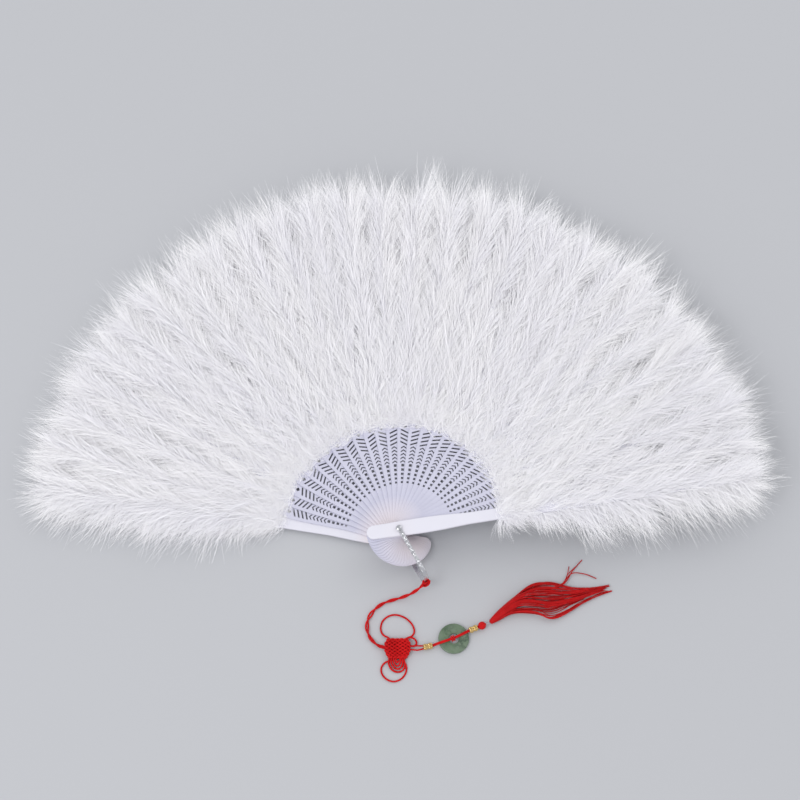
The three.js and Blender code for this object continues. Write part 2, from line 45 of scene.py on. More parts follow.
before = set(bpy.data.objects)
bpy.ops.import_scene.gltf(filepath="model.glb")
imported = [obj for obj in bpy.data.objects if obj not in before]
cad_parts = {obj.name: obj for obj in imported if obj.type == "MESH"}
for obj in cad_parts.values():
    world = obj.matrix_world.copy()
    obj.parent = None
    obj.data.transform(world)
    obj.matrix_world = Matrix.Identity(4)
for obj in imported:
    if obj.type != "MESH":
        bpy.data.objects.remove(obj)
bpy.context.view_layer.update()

MM = 0.001

# The spread of the sticks, counted from the back guard, which is number 0
STICKS = 26
LAST = STICKS + 1
FIRST_ANGLE = math.radians(171)
FOLD_STEP = math.radians(6)


def body_name(i):
    """The frame's body that stick i belongs to."""
    if i == 0:
        return "base"
    return "front_guard" if i == LAST else f"stick_{i:02d}"


def node_name(i):
    """The frame's node of stick i."""
    return "back_guard" if i == 0 else body_name(i)


def stick_angle(i):
    """The direction that stick i points in, from the X axis."""
    return FIRST_ANGLE - i * FOLD_STEP


def colour(name, text, value):
    """A colour that the user can set."""
    return FloatVectorProperty(
        name=name, description=text, subtype="COLOR", size=3, min=0, max=1, default=value
    )


def length(name, text, value):
    """A length in millimetres that the user can set, kept in metres."""
    return FloatProperty(
        name=name, description=text, default=value * MM, unit="LENGTH", precision=5
    )


class FanStage(bpy.types.PropertyGroup):
    """The floor, the light and the camera."""

    floor: colour("Floor", "Colour of the floor", (0.48, 0.49, 0.52))
    elevation: FloatProperty(
        name="Elevation",
        description="Angle of the camera above the floor",
        default=math.radians(70),
        subtype="ANGLE",
    )
    width: length("View width", "Width that the picture shows at the floor", 536)
    middle: length("View middle", "How far beyond the rivet the picture's middle lies", 99.2)
    lens: FloatProperty(name="Lens", description="Focal length in millimetres", default=135)
    sky: FloatProperty(name="Sky", description="Strength of the even light", default=0.92)
    key: FloatProperty(name="Key", description="Power of the main lamp in watts", default=14)
    fill: FloatProperty(name="Fill", description="Power of the second lamp in watts", default=4)


class FanSticks(bpy.types.PropertyGroup):
    """The sticks and the two guards."""

    edge: length("Stick edge", "Rounding of a stick's edges", 0.12)
    guard_edge: length("Guard edge", "Rounding of a guard's edges", 0.75)
    stick: colour("Stick", "Colour of the sticks", (0.6, 0.6, 0.73))
    guard: colour("Guard", "Colour of the guards", (0.72, 0.715, 0.8))
    # Painted reflection: a warm tint painted on the sticks by the rivet
    head_reflection: colour("Heads", "Colour of the sticks by the rivet", (0.78, 0.72, 0.76))


class FanDown(bpy.types.PropertyGroup):
    """The down on the sticks."""

    tufts: IntProperty(name="Tufts", description="Tufts of down on a stick", default=520)
    barbs: IntProperty(name="Barbs", description="Barbs in a tuft", default=14)
    barb: length("Barb width", "Width of a barb at its root", 0.32)
    tip: colour("Tips", "Colour of the down's tips", (0.98, 0.975, 0.995))
    # Painted shade: the colour of the down at its roots and in its shaded drifts
    depth: colour("Depth", "Colour of the down's depth", (0.9, 0.895, 0.965))


class FanMetal(bpy.types.PropertyGroup):
    """The rivet, the bail and the beads."""

    silver: colour("Silver", "Colour of the rivet and the bail", (0.84, 0.84, 0.86))
    gold: colour("Gold", "Colour of the gold beads", (0.95, 0.66, 0.26))
    relief: length("Relief", "Thickness of the ornament on the bail", 0.17)


class FanPendant(bpy.types.PropertyGroup):
    """The cord, the knot, the disc and the tassel."""

    strand: length("Strand", "Thickness of one strand of the cord", 1.24)
    cord: colour("Cord", "Colour of the cord", (0.66, 0.002, 0.004))
    thread: colour("Thread", "Colour of the tassel", (0.56, 0.002, 0.004))
    stone: colour("Stone", "Colour of the disc", (0.085, 0.15, 0.075))
    vein: colour("Vein", "Colour of the disc's veins", (0.035, 0.07, 0.04))
    threads: IntProperty(name="Threads", description="Threads in the tassel", default=84)
    width: length("Thread width", "Thickness of a thread of the tassel", 0.6)


class Value:
    """A shader socket that takes part in Python sums."""

    def __init__(self, shade, socket):
        self.shade = shade
        self.socket = socket

    def sum(self, operation, first, second):
        return self.shade.node("Math", {"operation": operation}, (first, second))

    def __add__(self, other):
        return self.sum("ADD", self, other)

    def __sub__(self, other):
        return self.sum("SUBTRACT", self, other)

    def __rsub__(self, other):
        return self.sum("SUBTRACT", other, self)

    def __mul__(self, other):
        return self.sum("MULTIPLY", self, other)

    __radd__ = __add__
    __rmul__ = __mul__


class Shade:
    """A material and its node tree."""

    def __init__(self, name, **constants):
        self.material = bpy.data.materials.new(name)
        self.material.use_nodes = True
        self.tree = self.material.node_tree
        self.surface = self.tree.nodes["Principled BSDF"]
        for socket, value in constants.items():
            self.surface.inputs[socket.replace("_", " ")].default_value = value

    def node(self, kind, settings=(), values=(), output=0):
        """Adds a node. Settings come first, then the values or links of its sockets."""
        node = self.tree.nodes.new("ShaderNode" + kind)
        for name, setting in dict(settings).items():
            if name == "stops":
                self.set_stops(node.color_ramp, setting)
            else:
                setattr(node, name, setting)
        pairs = values.items() if isinstance(values, dict) else enumerate(values)
        for name, value in pairs:
            self.plug(node.inputs[name], value)
        return Value(self, node.outputs[output])

    def set_stops(self, ramp, stops):
        for extra in stops[2:]:
            ramp.elements.new(extra[0])
        for element, (place, tone) in zip(ramp.elements, stops):
            element.position = place
            element.color = (*tone, 1) if isinstance(tone, tuple) else (tone, tone, tone, 1)

    def plug(self, socket, value):
        if isinstance(value, Value):
            self.tree.links.new(value.socket, socket)
        elif socket.type == "RGBA":
            socket.default_value = (*value, 1)
        else:
            socket.default_value = value

    def set(self, **sockets):
        for name, value in sockets.items():
            self.plug(self.surface.inputs[name.replace("_", " ")], value)
        return self.material

    def place(self):
        return self.node("TexCoord", output="Object")

    def noise(self, scale, detail=3, rough=0.5):
        values = {"Scale": scale, "Detail": detail, "Roughness": rough}
        return self.node("TexNoise", (), {"Vector": self.place(), **values})

    def ramp(self, value, *stops):
        return self.node("ValToRGB", {"stops": stops}, (value,))

    def mix(self, share, first, second):
        """A colour between two. The node's colour sockets are numbers 6 and 7, and output 2."""
        values = {0: share, 6: first, 7: second}
        return self.node("Mix", {"data_type": "RGBA"}, values, output=2)

    def bump(self, height, strength, distance):
        values = {"Height": height, "Strength": strength, "Distance": distance}
        return self.node("Bump", (), values)


def link(name, mesh, material=None):
    """A new object with this mesh, at the origin."""
    piece = bpy.data.objects.new(name, mesh)
    bpy.context.scene.collection.objects.link(piece)
    if material:
        mesh.materials.clear()
        mesh.materials.append(material)
    return piece


def settle(piece, body, slot, *nodes):
    """Makes a finished piece ride on a body, in place of these nodes."""
    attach(piece, body)
    if nodes:
        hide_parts(*nodes)
    return piece


def smooth(mesh, sharp=40):
    """Smooth faces, with hard edges where the surface turns by more than this."""
    mesh.shade_smooth()
    mesh.set_sharp_from_angle(angle=math.radians(sharp))


def plain_copy(source, name):
    """The evaluated shape of an object as a plain mesh object, in its place."""
    graph = bpy.context.evaluated_depsgraph_get()
    mesh = bpy.data.meshes.new_from_object(
        source.evaluated_get(graph), preserve_all_data_layers=True, depsgraph=graph
    )
    bpy.data.objects.remove(source)
    mesh.name = name
    return link(name, mesh)


def arc_points(x, y, radius, start, end, steps):
    """Points of an arc about (x, y)."""
    angles = np.linspace(start, end, steps + 1)
    return [(x + radius * math.cos(a), y + radius * math.sin(a)) for a in angles]


def plate(name, outline, holes, low, high, edge, rounds, turn):
    """A flat piece cut from sheet, in millimetres along X, rounded along every edge."""
    curve = bpy.data.curves.new(name, "CURVE")
    curve.dimensions = "2D"
    curve.fill_mode = "BOTH"
    curve.bevel_depth = edge
    curve.bevel_resolution = rounds
    curve.extrude = (high - low) / 2 - edge
    curve.offset = -edge
    for points in [outline, *holes]:
        spline = curve.splines.new("POLY")
        spline.points.add(len(points) - 1)
        for point, (x, y) in zip(spline.points, points):
            point.co = (x, y, 0, 1)
        spline.use_cyclic_u = True
    source = bpy.data.objects.new(name, curve)
    bpy.context.scene.collection.objects.link(source)
    piece = plain_copy(source, name)
    lift = Matrix.Translation((0, 0, (low + high) / 2))
    piece.data.transform(Matrix.Scale(MM, 4) @ Matrix.Rotation(turn, 4, "Z") @ lift)
    smooth(piece.data)
    return piece


# A stick's outline and piercings, in millimetres from the rivet
PIVOT_RADIUS = 1.12
STICK_REACH = 206
STICK_SIDES = ((0, 4.4), (6, 4.0), (14, 3.4), (24, 2.95), (35, 2.8), (67, 4.7), (76, 4.7))
STICK_NECK = ((77.5, 4.5), (79.5, 3.6), (80.5, 3.2))
GUARD_SIDES = (
    (-10, 4.75), (0, 5.0), (12, 5.2), (21, 5.2), (29, 4.95), (37, 4.45), (46, 3.95),
    (100, 3.75),
)
SQUARES = ((36.0, 1.35), (38.8, 1.5), (41.7, 1.65), (44.7, 1.75), (47.8, 1.85))
CHEVRONS = (50.4, 52.9, 55.4, 57.9, 60.4)
CHEVRON_HALF = 1.8
CHEVRON_SLANT = 1.3
STROKES = (63.2, 66.0, 68.8, 71.6)
STROKE_HALF = 2.5
RHOMB = 75.0
# From this stick on, counted from the back guard, all strokes lean one way
ALL_LEAN_FROM = 15
# How far a head reaches beyond the rivet and its half width, and the far end's radius
GUARD_HEAD, GUARD_TIP = (21.3, 4.7), 3.4
STICK_HEAD, STICK_TIP = (21.5, 4.2), 2.8


def two_sided(head, sides, reach, tip):
    """An outline that is alike on both sides of the X axis, round at both ends."""
    head_reach, head_half = head
    under = [(x, -half) for x, half in sides]
    over = [(x, half) for x, half in reversed(sides)]
    quarter = math.pi / 2
    return [
        *arc_points(head_half - head_reach, 0, head_half, quarter, 3 * quarter, 14),
        *under,
        *arc_points(reach - tip, 0, tip, -quarter, quarter, 10),
        *over,
    ]


def pivot_hole():
    """The round hole that the rivet passes through."""
    return arc_points(0, 0, PIVOT_RADIUS, 0, math.tau, 24)[1:]


def piercings(lean):
    """The holes of a stick: squares, chevrons, slanted strokes and a rhomb."""
    holes = []
    for r, size in SQUARES:
        h = size / 2
        holes.append([(r - h, -h), (r + h, -h), (r + h, h), (r - h, h)])
    half, slant = CHEVRON_HALF, CHEVRON_SLANT
    for r in CHEVRONS:
        nose, back = r + 1.0, r + 0.05
        upper = [(nose, 0), (nose - slant, half), (back - slant, half)]
        lower = [(back, 0), (back - slant, -half), (nose - slant, -half)]
        holes.append(upper + lower)
    side = STROKE_HALF * lean
    for r in STROKES:
        holes.append([(r - 1.75, -side), (r - 0.65, -side), (r + 1.65, side), (r + 0.55, side)])
    r = RHOMB
    holes.append([(r - 1.5, 0), (r, -1.4), (r + 1.5, 0), (r, 1.4)])
    return holes


def plastic(name, tone, depth, reflected_warmth):
    """Moulded plastic: cloudy, with fine flow lines, a soft gloss and a painted warm reflection by
    the rivet.
    """
    shade = Shade(name, Specular_IOR_Level=0.45)
    cloud = shade.noise(90, detail=2)
    grain = shade.noise(1400, detail=2)
    dark = tuple(depth * channel for channel in tone)
    off = shade.node("VectorMath", {"operation": "LENGTH"}, (shade.place(),), output=1)
    # Painted reflection: near the rivet the colour turns to the warm tint
    near = shade.ramp(off * 20, (0.34, 0.0), (0.62, 1.0))
    return shade.set(
        Base_Color=shade.mix(near, reflected_warmth, shade.mix(cloud, dark, tone)),
        Roughness=0.26 + 0.16 * shade.noise(500),
        Normal=shade.bump(grain + 2 * cloud, 0.12, 0.0002),
    )


class FAN_OT_sticks(bpy.types.Operator):
    """Make the pierced sticks and the two guards"""

    bl_idname = "fan.sticks"
    bl_label = "Sticks and guards"

    def execute(self, context):
        sizes = context.scene.fan_sticks
        # Painted reflection: the warm tint that the plastic takes by the rivet
        reflected_warmth = tuple(sizes.head_reflection)
        stick = plastic("stick_plastic", tuple(sizes.stick), 0.88, reflected_warmth)
        guard = plastic("guard_plastic", tuple(sizes.guard), 0.95, reflected_warmth)
        for i in range(LAST + 1):
            low, high = (corner.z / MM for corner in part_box(node_name(i)))
            if i in (0, LAST):
                outline = two_sided(GUARD_HEAD, GUARD_SIDES, STICK_REACH, GUARD_TIP)
                edge, rounds, holes = sizes.guard_edge / MM, 4, []
                material, slot = guard, "guard_plastic"
            else:
                sides = STICK_SIDES + STICK_NECK
                outline = two_sided(STICK_HEAD, sides, STICK_REACH, STICK_TIP)
                lean = -1 if i >= ALL_LEAN_FROM or i % 2 else 1
                edge, rounds, holes = sizes.edge / MM, 1, piercings(lean)
                material, slot = stick, "stick_plastic"
            name = f"{node_name(i)}_moulding"
            holes = [pivot_hole(), *holes]
            piece = plate(name, outline, holes, low, high, edge, rounds, stick_angle(i))
            piece.data.materials.append(material)
            settle(piece, body_name(i), slot, node_name(i))
        return {"FINISHED"}


def strands_mesh(name, points, **attributes):
    """A mesh of open lines, one for each row of points, with values along them."""
    rows, steps, _ = points.shape
    mesh = bpy.data.meshes.new(name)
    mesh.vertices.add(rows * steps)
    mesh.vertices.foreach_set("co", points.astype(np.float32).ravel())
    starts = (np.arange(rows)[:, None] * steps + np.arange(steps - 1)).ravel()
    mesh.edges.add(len(starts))
    mesh.edges.foreach_set("vertices", np.stack([starts, starts + 1], 1).ravel())
    for key, values in attributes.items():
        layer = mesh.attributes.new(key, "FLOAT", "POINT")
        full = np.broadcast_to(values, (rows, steps)).astype(np.float32)
        layer.data.foreach_set("value", full.ravel())
    mesh.update()
    return mesh


class NodeTree:
    """A tree of geometry nodes with named inputs."""

    def __init__(self, name, **inputs):
        self.tree = bpy.data.node_groups.new(name, "GeometryNodeTree")
        self.tree.interface.new_socket("Geometry", in_out="INPUT", socket_type="NodeSocketGeometry")
        for key, kind in inputs.items():
            self.tree.interface.new_socket(key, in_out="INPUT", socket_type="NodeSocket" + kind)
        self.tree.interface.new_socket("Geometry", in_out="OUTPUT", socket_type="NodeSocketGeometry")
        self.start = self.tree.nodes.new("NodeGroupInput")

    def add(self, kind, settings=(), links=()):
        """Adds a node and returns the output that the next one uses."""
        node = self.tree.nodes.new(kind)
        for name, setting in dict(settings).items():
            setattr(node, name, setting)
        for name, value in dict(links).items():
            if isinstance(value, bpy.types.NodeSocket):
                self.tree.links.new(value, node.inputs[name])
            else:
                node.inputs[name].default_value = value
        return node.outputs[0]

    def given(self, name):
        return self.start.outputs[name]

    def attribute(self, name):
        return self.add("GeometryNodeInputNamedAttribute", {"data_type": "FLOAT"}, {"Name": name})

    def finish(self, geometry, material):
        """Ends the tree in real geometry with its material."""
        real = self.add("GeometryNodeRealizeInstances", (), {0: geometry})
        dressed = self.add("GeometryNodeSetMaterial", (), {0: real, "Material": material})
        end = self.tree.nodes.new("NodeGroupOutput")
        self.tree.links.new(dressed, end.inputs[0])
        return self.tree


def grow(name, mesh, tree, **inputs):
    """Runs a tree on a mesh and returns its result as a plain mesh object."""
    source = link(name, mesh)
    modifier = source.modifiers.new("Grow", "NODES")
    modifier.node_group = tree
    for item in tree.interface.items_tree:
        if item.in_out == "INPUT" and item.name in inputs:
            modifier[item.identifier] = inputs[item.name]
    piece = plain_copy(source, name)
    bpy.data.meshes.remove(mesh)
    return piece


def thread_tree():
    """Round threads along lines, each as thick as its points say."""
    tree = NodeTree("Threads", Width="Float", Finish="Material")
    lines = tree.add("GeometryNodeMeshToCurve", (), {0: tree.given("Geometry")})
    factors = {0: tree.attribute("thickness"), 1: tree.given("Width")}
    width = tree.add("ShaderNodeMath", {"operation": "MULTIPLY"}, factors)
    circle = tree.add("GeometryNodeCurvePrimitiveCircle", (), {"Resolution": 6, "Radius": 0.5})
    parts = {"Curve": lines, "Profile Curve": circle, "Scale": width, "Fill Caps": True}
    threads = tree.add("GeometryNodeCurveToMesh", (), parts)
    shaded = tree.add("GeometryNodeSetShadeSmooth", (), {0: threads})
    return tree.finish(shaded, tree.given("Finish"))


# The down, in millimetres from the rivet. It starts nearer the rivet at the front guard
DOWN_STARTS = ((0, 79), (16, 77), (27, 68))
DOWN_END = 229
# How far the tips reach at the fan's sides and its top, and how much further at the left
SIDE_REACH = 250
TOP_REACH = 267
LEFT_EXTRA = 3
# Above this height the down is pressed together
DOWN_TOP = 42
DOWN_PRESSED = 0.6
BARB_STEPS = 4

# Shares of a stick's tufts: above it, at its inner edge, hanging to the table, and so on
ABOVE_SHARE, GUARD_ABOVE_SHARE = 0.5, 0.62
INNER_SHARE, WILD_SHARE = 0.14, 0.6
HANGING_SHARE, STRAY_SHARE, SHORT_SHARE = 0.7, 0.12, 0.3
# How wide the band of short hairs at the inner edge is
INNER_BAND = 16

# Ranges of angles in degrees and of lengths in millimetres
TUFT_TURN, WILD_TURN, FRINGE_TURN = (8, 48), (50, 160), (6, 88)
RISE_ABOVE, RISE_UNDER, RISE_STEEP = (3, 32), (-30, 4), (-85, -50)
TUFT_LENGTH, WILD_LENGTH, FRINGE_LENGTH = (24, 46), (7, 19), (26, 44)
STEEP_ROOTS = (90, 150)

# How barbs differ from their tuft: the scatter of their roots along and across the stick,
# their lengths, how far they spread at the root and the tip, and how much they draw together
ROOT_SCATTER = ((-4, 4), (-1, 1))
BARB_LENGTH = (0.66, 1.12)
ROOT_SPREAD, TIP_SPREAD = 0.2, 0.38
GATHERING = 0.28


def unit(vectors):
    """Vectors of the same directions and of length one."""
    return vectors / np.linalg.norm(vectors, axis=-1, keepdims=True)


def heading(turn, rise):
    """Directions in a stick's own frame, from their turn off the stick and their rise."""
    level = np.cos(rise)
    return np.stack([level * np.cos(turn), level * np.sin(turn), np.sin(rise)], -1)


class Tufts:
    """The tufts of one stick: where each starts, where it heads and how long it is."""

    def __init__(self, i, count):
        self.rng = rng = np.random.default_rng(4100 + i)
        low, high = (corner.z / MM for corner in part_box(node_name(i)))
        spread = rng.random(count)
        near = np.interp(i, *np.array(DOWN_STARTS).T)
        self.root_x = np.sqrt(near**2 + spread**1.2 * (DOWN_END**2 - near**2))
        inner = rng.random(count) < INNER_SHARE
        edge = near + INNER_BAND
        self.root_x = np.where(inner, rng.uniform(near, edge, count), self.root_x)
        self.side = np.where(rng.random(count) < 0.5, -1, 1)
        guard = i in (0, LAST)
        self.above = rng.random(count) < (GUARD_ABOVE_SHARE if guard else ABOVE_SHARE)
        self.turn = self.side * np.radians(rng.uniform(*TUFT_TURN, count))
        up, under = rng.uniform(*RISE_ABOVE, count), rng.uniform(*RISE_UNDER, count)
        self.rise = np.radians(np.where(self.above, up, under))
        self.size = rng.uniform(*TUFT_LENGTH, count) * (0.72 + 0.28 * spread)
        self.bend = rng.uniform(0, 0.7, count)
        self.hang(low, count)
        self.curl_inward(edge, count)
        self.outward = np.where(self.above[:, None], (0.0, 0, 1), (0.0, 0, -1))
        if guard:
            self.fringe(1 if i == 0 else -1, low, count)
        self.trim(i, count)
        ends = self.turn * self.bend + np.radians(rng.normal(0, 9, count))
        settled = np.where(self.above, self.rise * 0.15 - 0.14, self.rise * 0.6 + 0.05)
        self.first, self.last = heading(self.turn, self.rise), heading(ends, settled)
        deck = np.where(self.above, high, low)
        half = np.interp(self.root_x, (76, 84), (4.2, 3.7 if guard else 2.4))
        self.root = np.stack([self.root_x, half * rng.uniform(-1, 1, count), deck], -1)

    def hang(self, low, count):
        """Most tufts under the stick reach down to the table, some of them steeply."""
        rng = self.rng
        fall = -np.arcsin(np.clip((low + 1) / self.size, 0, 0.75))
        hanging = ~self.above & (rng.random(count) < HANGING_SHARE)
        self.rise = np.where(hanging, fall * rng.uniform(0.3, 1, count), self.rise)
        steep = ~self.above & (rng.random(count) < 0.3 + 0.008 * low) & (low > 8)
        near = steep & (rng.random(count) < 0.5)
        self.root_x = np.where(near, rng.uniform(*STEEP_ROOTS, count), self.root_x)
        down = np.radians(rng.uniform(*RISE_STEEP, count))
        self.rise = np.where(steep, down, self.rise)
        self.size = np.where(steep, low / np.sin(-self.rise.clip(-1.5, -0.5)) + 3, self.size)

    def curl_inward(self, edge, count):
        """Short hairs at the inner edge lie in every direction over the piercings."""
        rng = self.rng
        inner = self.root_x < edge
        self.size = np.where(inner, self.size * 0.55, self.size)
        self.wild = inner & (rng.random(count) < WILD_SHARE)
        aside = self.side * np.radians(rng.uniform(*WILD_TURN, count))
        self.turn = np.where(self.wild, aside, self.turn)
        self.size = np.where(self.wild, rng.uniform(*WILD_LENGTH, count), self.size)

    def fringe(self, outer_side, low, count):
        """The down stands out past the first and the last stick."""
        rng = self.rng
        outer = (self.side == outer_side) & (self.root_x > 82)
        wide = outer_side * np.radians(rng.uniform(*FRINGE_TURN, count))
        self.turn = np.where(outer, wide, self.turn)
        self.bend = np.where(outer, rng.uniform(0.5, 0.95, count), self.bend)
        longer = rng.uniform(*FRINGE_LENGTH, count) * np.clip((self.root_x - 60) / 60, 0.4, 1)
        self.size = np.where(outer, longer, self.size)
        fall = -np.arcsin(np.clip(low / self.size, 0, 0.8)) * rng.uniform(-0.2, 1.2, count)
        self.rise = np.where(outer & (low > 8), fall, self.rise)
        self.outward = np.where(outer[:, None], (0, 0.35 * outer_side, 0.94), self.outward)

    def trim(self, i, count):
        """The tips end near the fan's rim, unevenly, and a few strays reach past it."""
        angle = stick_angle(i)
        reach = SIDE_REACH + (TOP_REACH - SIDE_REACH) * math.sin(angle)
        reach -= LEFT_EXTRA * math.cos(angle)
        uneven = self.rng.normal(0, 5, count) - 8 * (self.rng.random(count) < SHORT_SHARE)
        self.stray = self.rng.random(count) < STRAY_SHARE
        uneven += 8 * self.stray + 3.2 * math.sin(2.3 * i) + 1.6 * math.sin(5.1 * i)
        room = (reach + uneven - self.root_x) / 0.93
        self.size = np.minimum(self.size, np.maximum(room, 8))


def down_lines(i, count, barbs):
    """The barbs of stick i as rows of points in millimetres, and what each row is like."""
    tufts = Tufts(i, count)
    rng = tufts.rng
    shape = (count, barbs)
    s = np.linspace(0, 1, BARB_STEPS + 1)[None, None, :, None]
    first, last = tufts.first[:, None, None], tufts.last[:, None, None]
    bow = first * s + (last - first) * s**2 / 2
    guide = tufts.root[:, None, None] + tufts.size[:, None, None, None] * bow
    scatter = [rng.uniform(*limits, shape) for limits in ROOT_SCATTER]
    own_root = tufts.root[:, None] + np.stack([*scatter, rng.uniform(-0.4, 0.6, shape)], -1)
    own_size = (tufts.size[:, None] * rng.uniform(*BARB_LENGTH, shape))[..., None, None]
    own_first = unit(first[:, :, 0] + rng.normal(0, ROOT_SPREAD, (*shape, 3)))[:, :, None]
    own_last = unit(last[:, :, 0] + rng.normal(0, TIP_SPREAD, (*shape, 3)))[:, :, None]
    own_bow = own_first * s + (own_last - own_first) * s**2 / 2
    own = own_root[:, :, None] + own_size * own_bow
    pull = GATHERING * s**1.5
    points = own * (1 - pull) + guide * pull
    phase = rng.uniform(0, math.tau, shape)[..., None]
    wave = phase + 5.5 * s[0, 0, :, 0] * rng.uniform(0.6, 1.4, shape)[..., None]
    sway = np.stack([0 * wave, np.cos(wave), 0.7 * np.sin(wave)], -1) * s * 1.2
    points = (points + sway).reshape(count * barbs, BARB_STEPS + 1, 3)
    floor = 0.3 + 1.2 * rng.random((len(points), 1))
    points[..., 2] = np.maximum(points[..., 2], floor)
    points[..., 2] -= DOWN_PRESSED * np.maximum(points[..., 2] - DOWN_TOP, 0)

    turned = np.array(Matrix.Rotation(stick_angle(i), 3, "Z"))
    outward = np.repeat(tufts.outward, barbs, 0) @ turned.T
    # Painted shade: slow waves across the sticks make drifts of greyer down where shadow lies; each
    # tuft and barb also differs at random in tone
    drift = 0.16 * np.sin(0.9 * i + 0.021 * tufts.root_x + 1.9 * tufts.side)
    tone = (0.62 + drift + rng.normal(0, 0.12, count))[:, None] + rng.normal(0, 0.07, shape)
    width = rng.uniform(0.6, 1.25, (len(points), 1))
    fine = np.repeat(tufts.stray | tufts.wild, barbs)[:, None]
    width = np.where(fine, 0.6 * width, width)
    tilt = rng.uniform(-0.75, 0.75, (len(points), 1))
    return points @ turned.T, outward, tone.reshape(-1, 1).clip(0.02, 0.98), width, tilt


def ribbons(name, rows, barb, material):
    """Flat tapering barbs along rows of points, lit together as one soft surface."""
    points, outward, tone, width, tilt = rows
    share = np.linspace(0, 1, points.shape[1])
    along = unit(np.gradient(points, axis=1))
    side = unit(np.cross(along, (0.05, 0.02, 1)))
    face = np.cross(side, along)
    lean = tilt[..., None]
    edge = np.cos(lean) * side + np.sin(lean) * face
    front = np.cos(lean) * face - np.sin(lean) * side
    half = edge * (barb / 2 * width * (1 - 0.86 * share**1.3))[..., None]
    corners = np.stack([points - half, points + half], 2)

    away = np.sum(front * outward[:, None], (1, 2)) < 0
    front = np.where(away[:, None, None], -front, front)
    normals = np.repeat(unit(0.8 * outward[:, None] + 0.35 * front)[:, :, None], 2, 2)
    grid = np.arange(corners[..., 0].size).reshape(corners.shape[:3])
    faces = np.stack([grid[:, :-1, 0], grid[:, :-1, 1], grid[:, 1:, 1], grid[:, 1:, 0]], -1)
    faces = np.where(away[:, None, None], faces[..., ::-1], faces).reshape(-1, 4)
    # The map holds each barb's tone, with its painted shade, and how far along the barb each point
    # lies
    places = np.stack(np.broadcast_arrays(tone[..., None], share[None, :, None]), -1)
    places = np.repeat(places, 2, 2).reshape(-1, 2)

    mesh = bpy.data.meshes.new(name)
    mesh.vertices.add(grid.size)
    mesh.vertices.foreach_set("co", (corners * MM).astype(np.float32).ravel())
    mesh.loops.add(faces.size)
    mesh.loops.foreach_set("vertex_index", faces.ravel())
    mesh.polygons.add(len(faces))
    mesh.polygons.foreach_set("loop_start", np.arange(0, faces.size, 4))
    mesh.update(calc_edges=True)
    layer = mesh.uv_layers.new(name="OFBake")
    layer.uv.foreach_set("vector", places[faces.ravel()].astype(np.float32).ravel())
    mesh.shade_smooth()
    mesh.normals_split_custom_set_from_vertices(normals.reshape(-1, 3))
    return link(name, mesh, material)


def down_with_painted_shade(tip, depth):
    """White down with painted shade: a shade greyer at the roots and in some tufts, lighter towards
    the tips.
    """
    shade = Shade("white_down", Roughness=0.9, Specular_IOR_Level=0.1, Sheen_Weight=0.2)
    place = shade.node("UVMap", {"uv_map": "OFBake"})
    tone = shade.node("SeparateXYZ", (), (place,), output=0)
    along = shade.node("SeparateXYZ", (), (place,), output=1)
    # Painted shade: towards the roots and in the drifts the colour turns to the depth colour
    lit = shade.node("Clamp", (), (tone * 0.75 + along * 0.45,))
    return shade.set(Base_Color=shade.mix(lit, depth, tip), Roughness=0.95 - 0.2 * along)


class FAN_OT_down(bpy.types.Operator):
    """Grow the down on every stick and guard"""

    bl_idname = "fan.down"
    bl_label = "Down"

    def execute(self, context):
        sizes = context.scene.fan_down
        finish = down_with_painted_shade(tuple(sizes.tip), tuple(sizes.depth))
        for i in range(LAST + 1):
            # The guards carry a third more, because their down is seen from the side
            count = sizes.tufts * 4 // 3 if i in (0, LAST) else sizes.tufts
            rows = down_lines(i, count, sizes.barbs)
            piece = ribbons(f"down_{i:02d}", rows, sizes.barb / MM, finish)
            nodes = [f"plume_{(i + 1) // 2:02d}"] if i % 2 else []
            settle(piece, body_name(i), "white_down", *nodes)
        return {"FINISHED"}


def smooth_line(points, spacing):
    """Evenly spaced points on a smooth curve through these points."""
    knots = np.array(points, float)
    knots = np.vstack([2 * knots[0] - knots[1], knots, 2 * knots[-1] - knots[-2]])
    t = np.linspace(0, 1, 24, endpoint=False)[:, None]
    rows = []
    for a, b, c, d in zip(knots, knots[1:], knots[2:], knots[3:]):
        bend = t**2 * (a - 2.5 * b + 2 * c - d / 2) + t**3 * (1.5 * (b - c) + (d - a) / 2)
        rows.append(b + t * (c - a) / 2 + bend)
    return evenly(np.vstack([*rows, knots[-2:-1]]), spacing)


def run_along(line):
    """How far along a line each of its points is."""
    steps = np.linalg.norm(np.diff(line, axis=0), axis=1)
    return np.concatenate([[0], np.cumsum(steps)])


def points_at(line, places):
    """The points of a line that lie this far along it."""
    run = run_along(line)
    return np.stack([np.interp(places, run, line[:, axis]) for axis in range(3)], -1)


def evenly(line, spacing):
    """The same line with its points about this far apart."""
    span = run_along(line)[-1]
    return points_at(line, np.linspace(0, span, max(2, round(span / spacing)) + 1))


def reaching(line, before, after):
    """A line carried straight on by these lengths at its two ends."""
    first, last = unit(line[0] - line[1]), unit(line[-1] - line[-2])
    steps = np.arange(1, 4)[:, None] / 3
    start = (line[0] + before * steps * first)[::-1]
    return np.vstack([start, line, line[-1] + after * steps * last])


def carried_frames(line):
    """Directions along and across a line, which turn with it and don't twist."""
    along = unit(np.gradient(line, axis=0))
    side = np.cross(along[0], (0, 0, 1))
    if np.linalg.norm(side) < 0.1:
        side = np.array((1.0, 0, 0))
    across = np.empty_like(line)
    for i, direction in enumerate(along):
        side = unit(side - direction * (side @ direction))
        across[i] = side
    return along, across, np.cross(along, across)


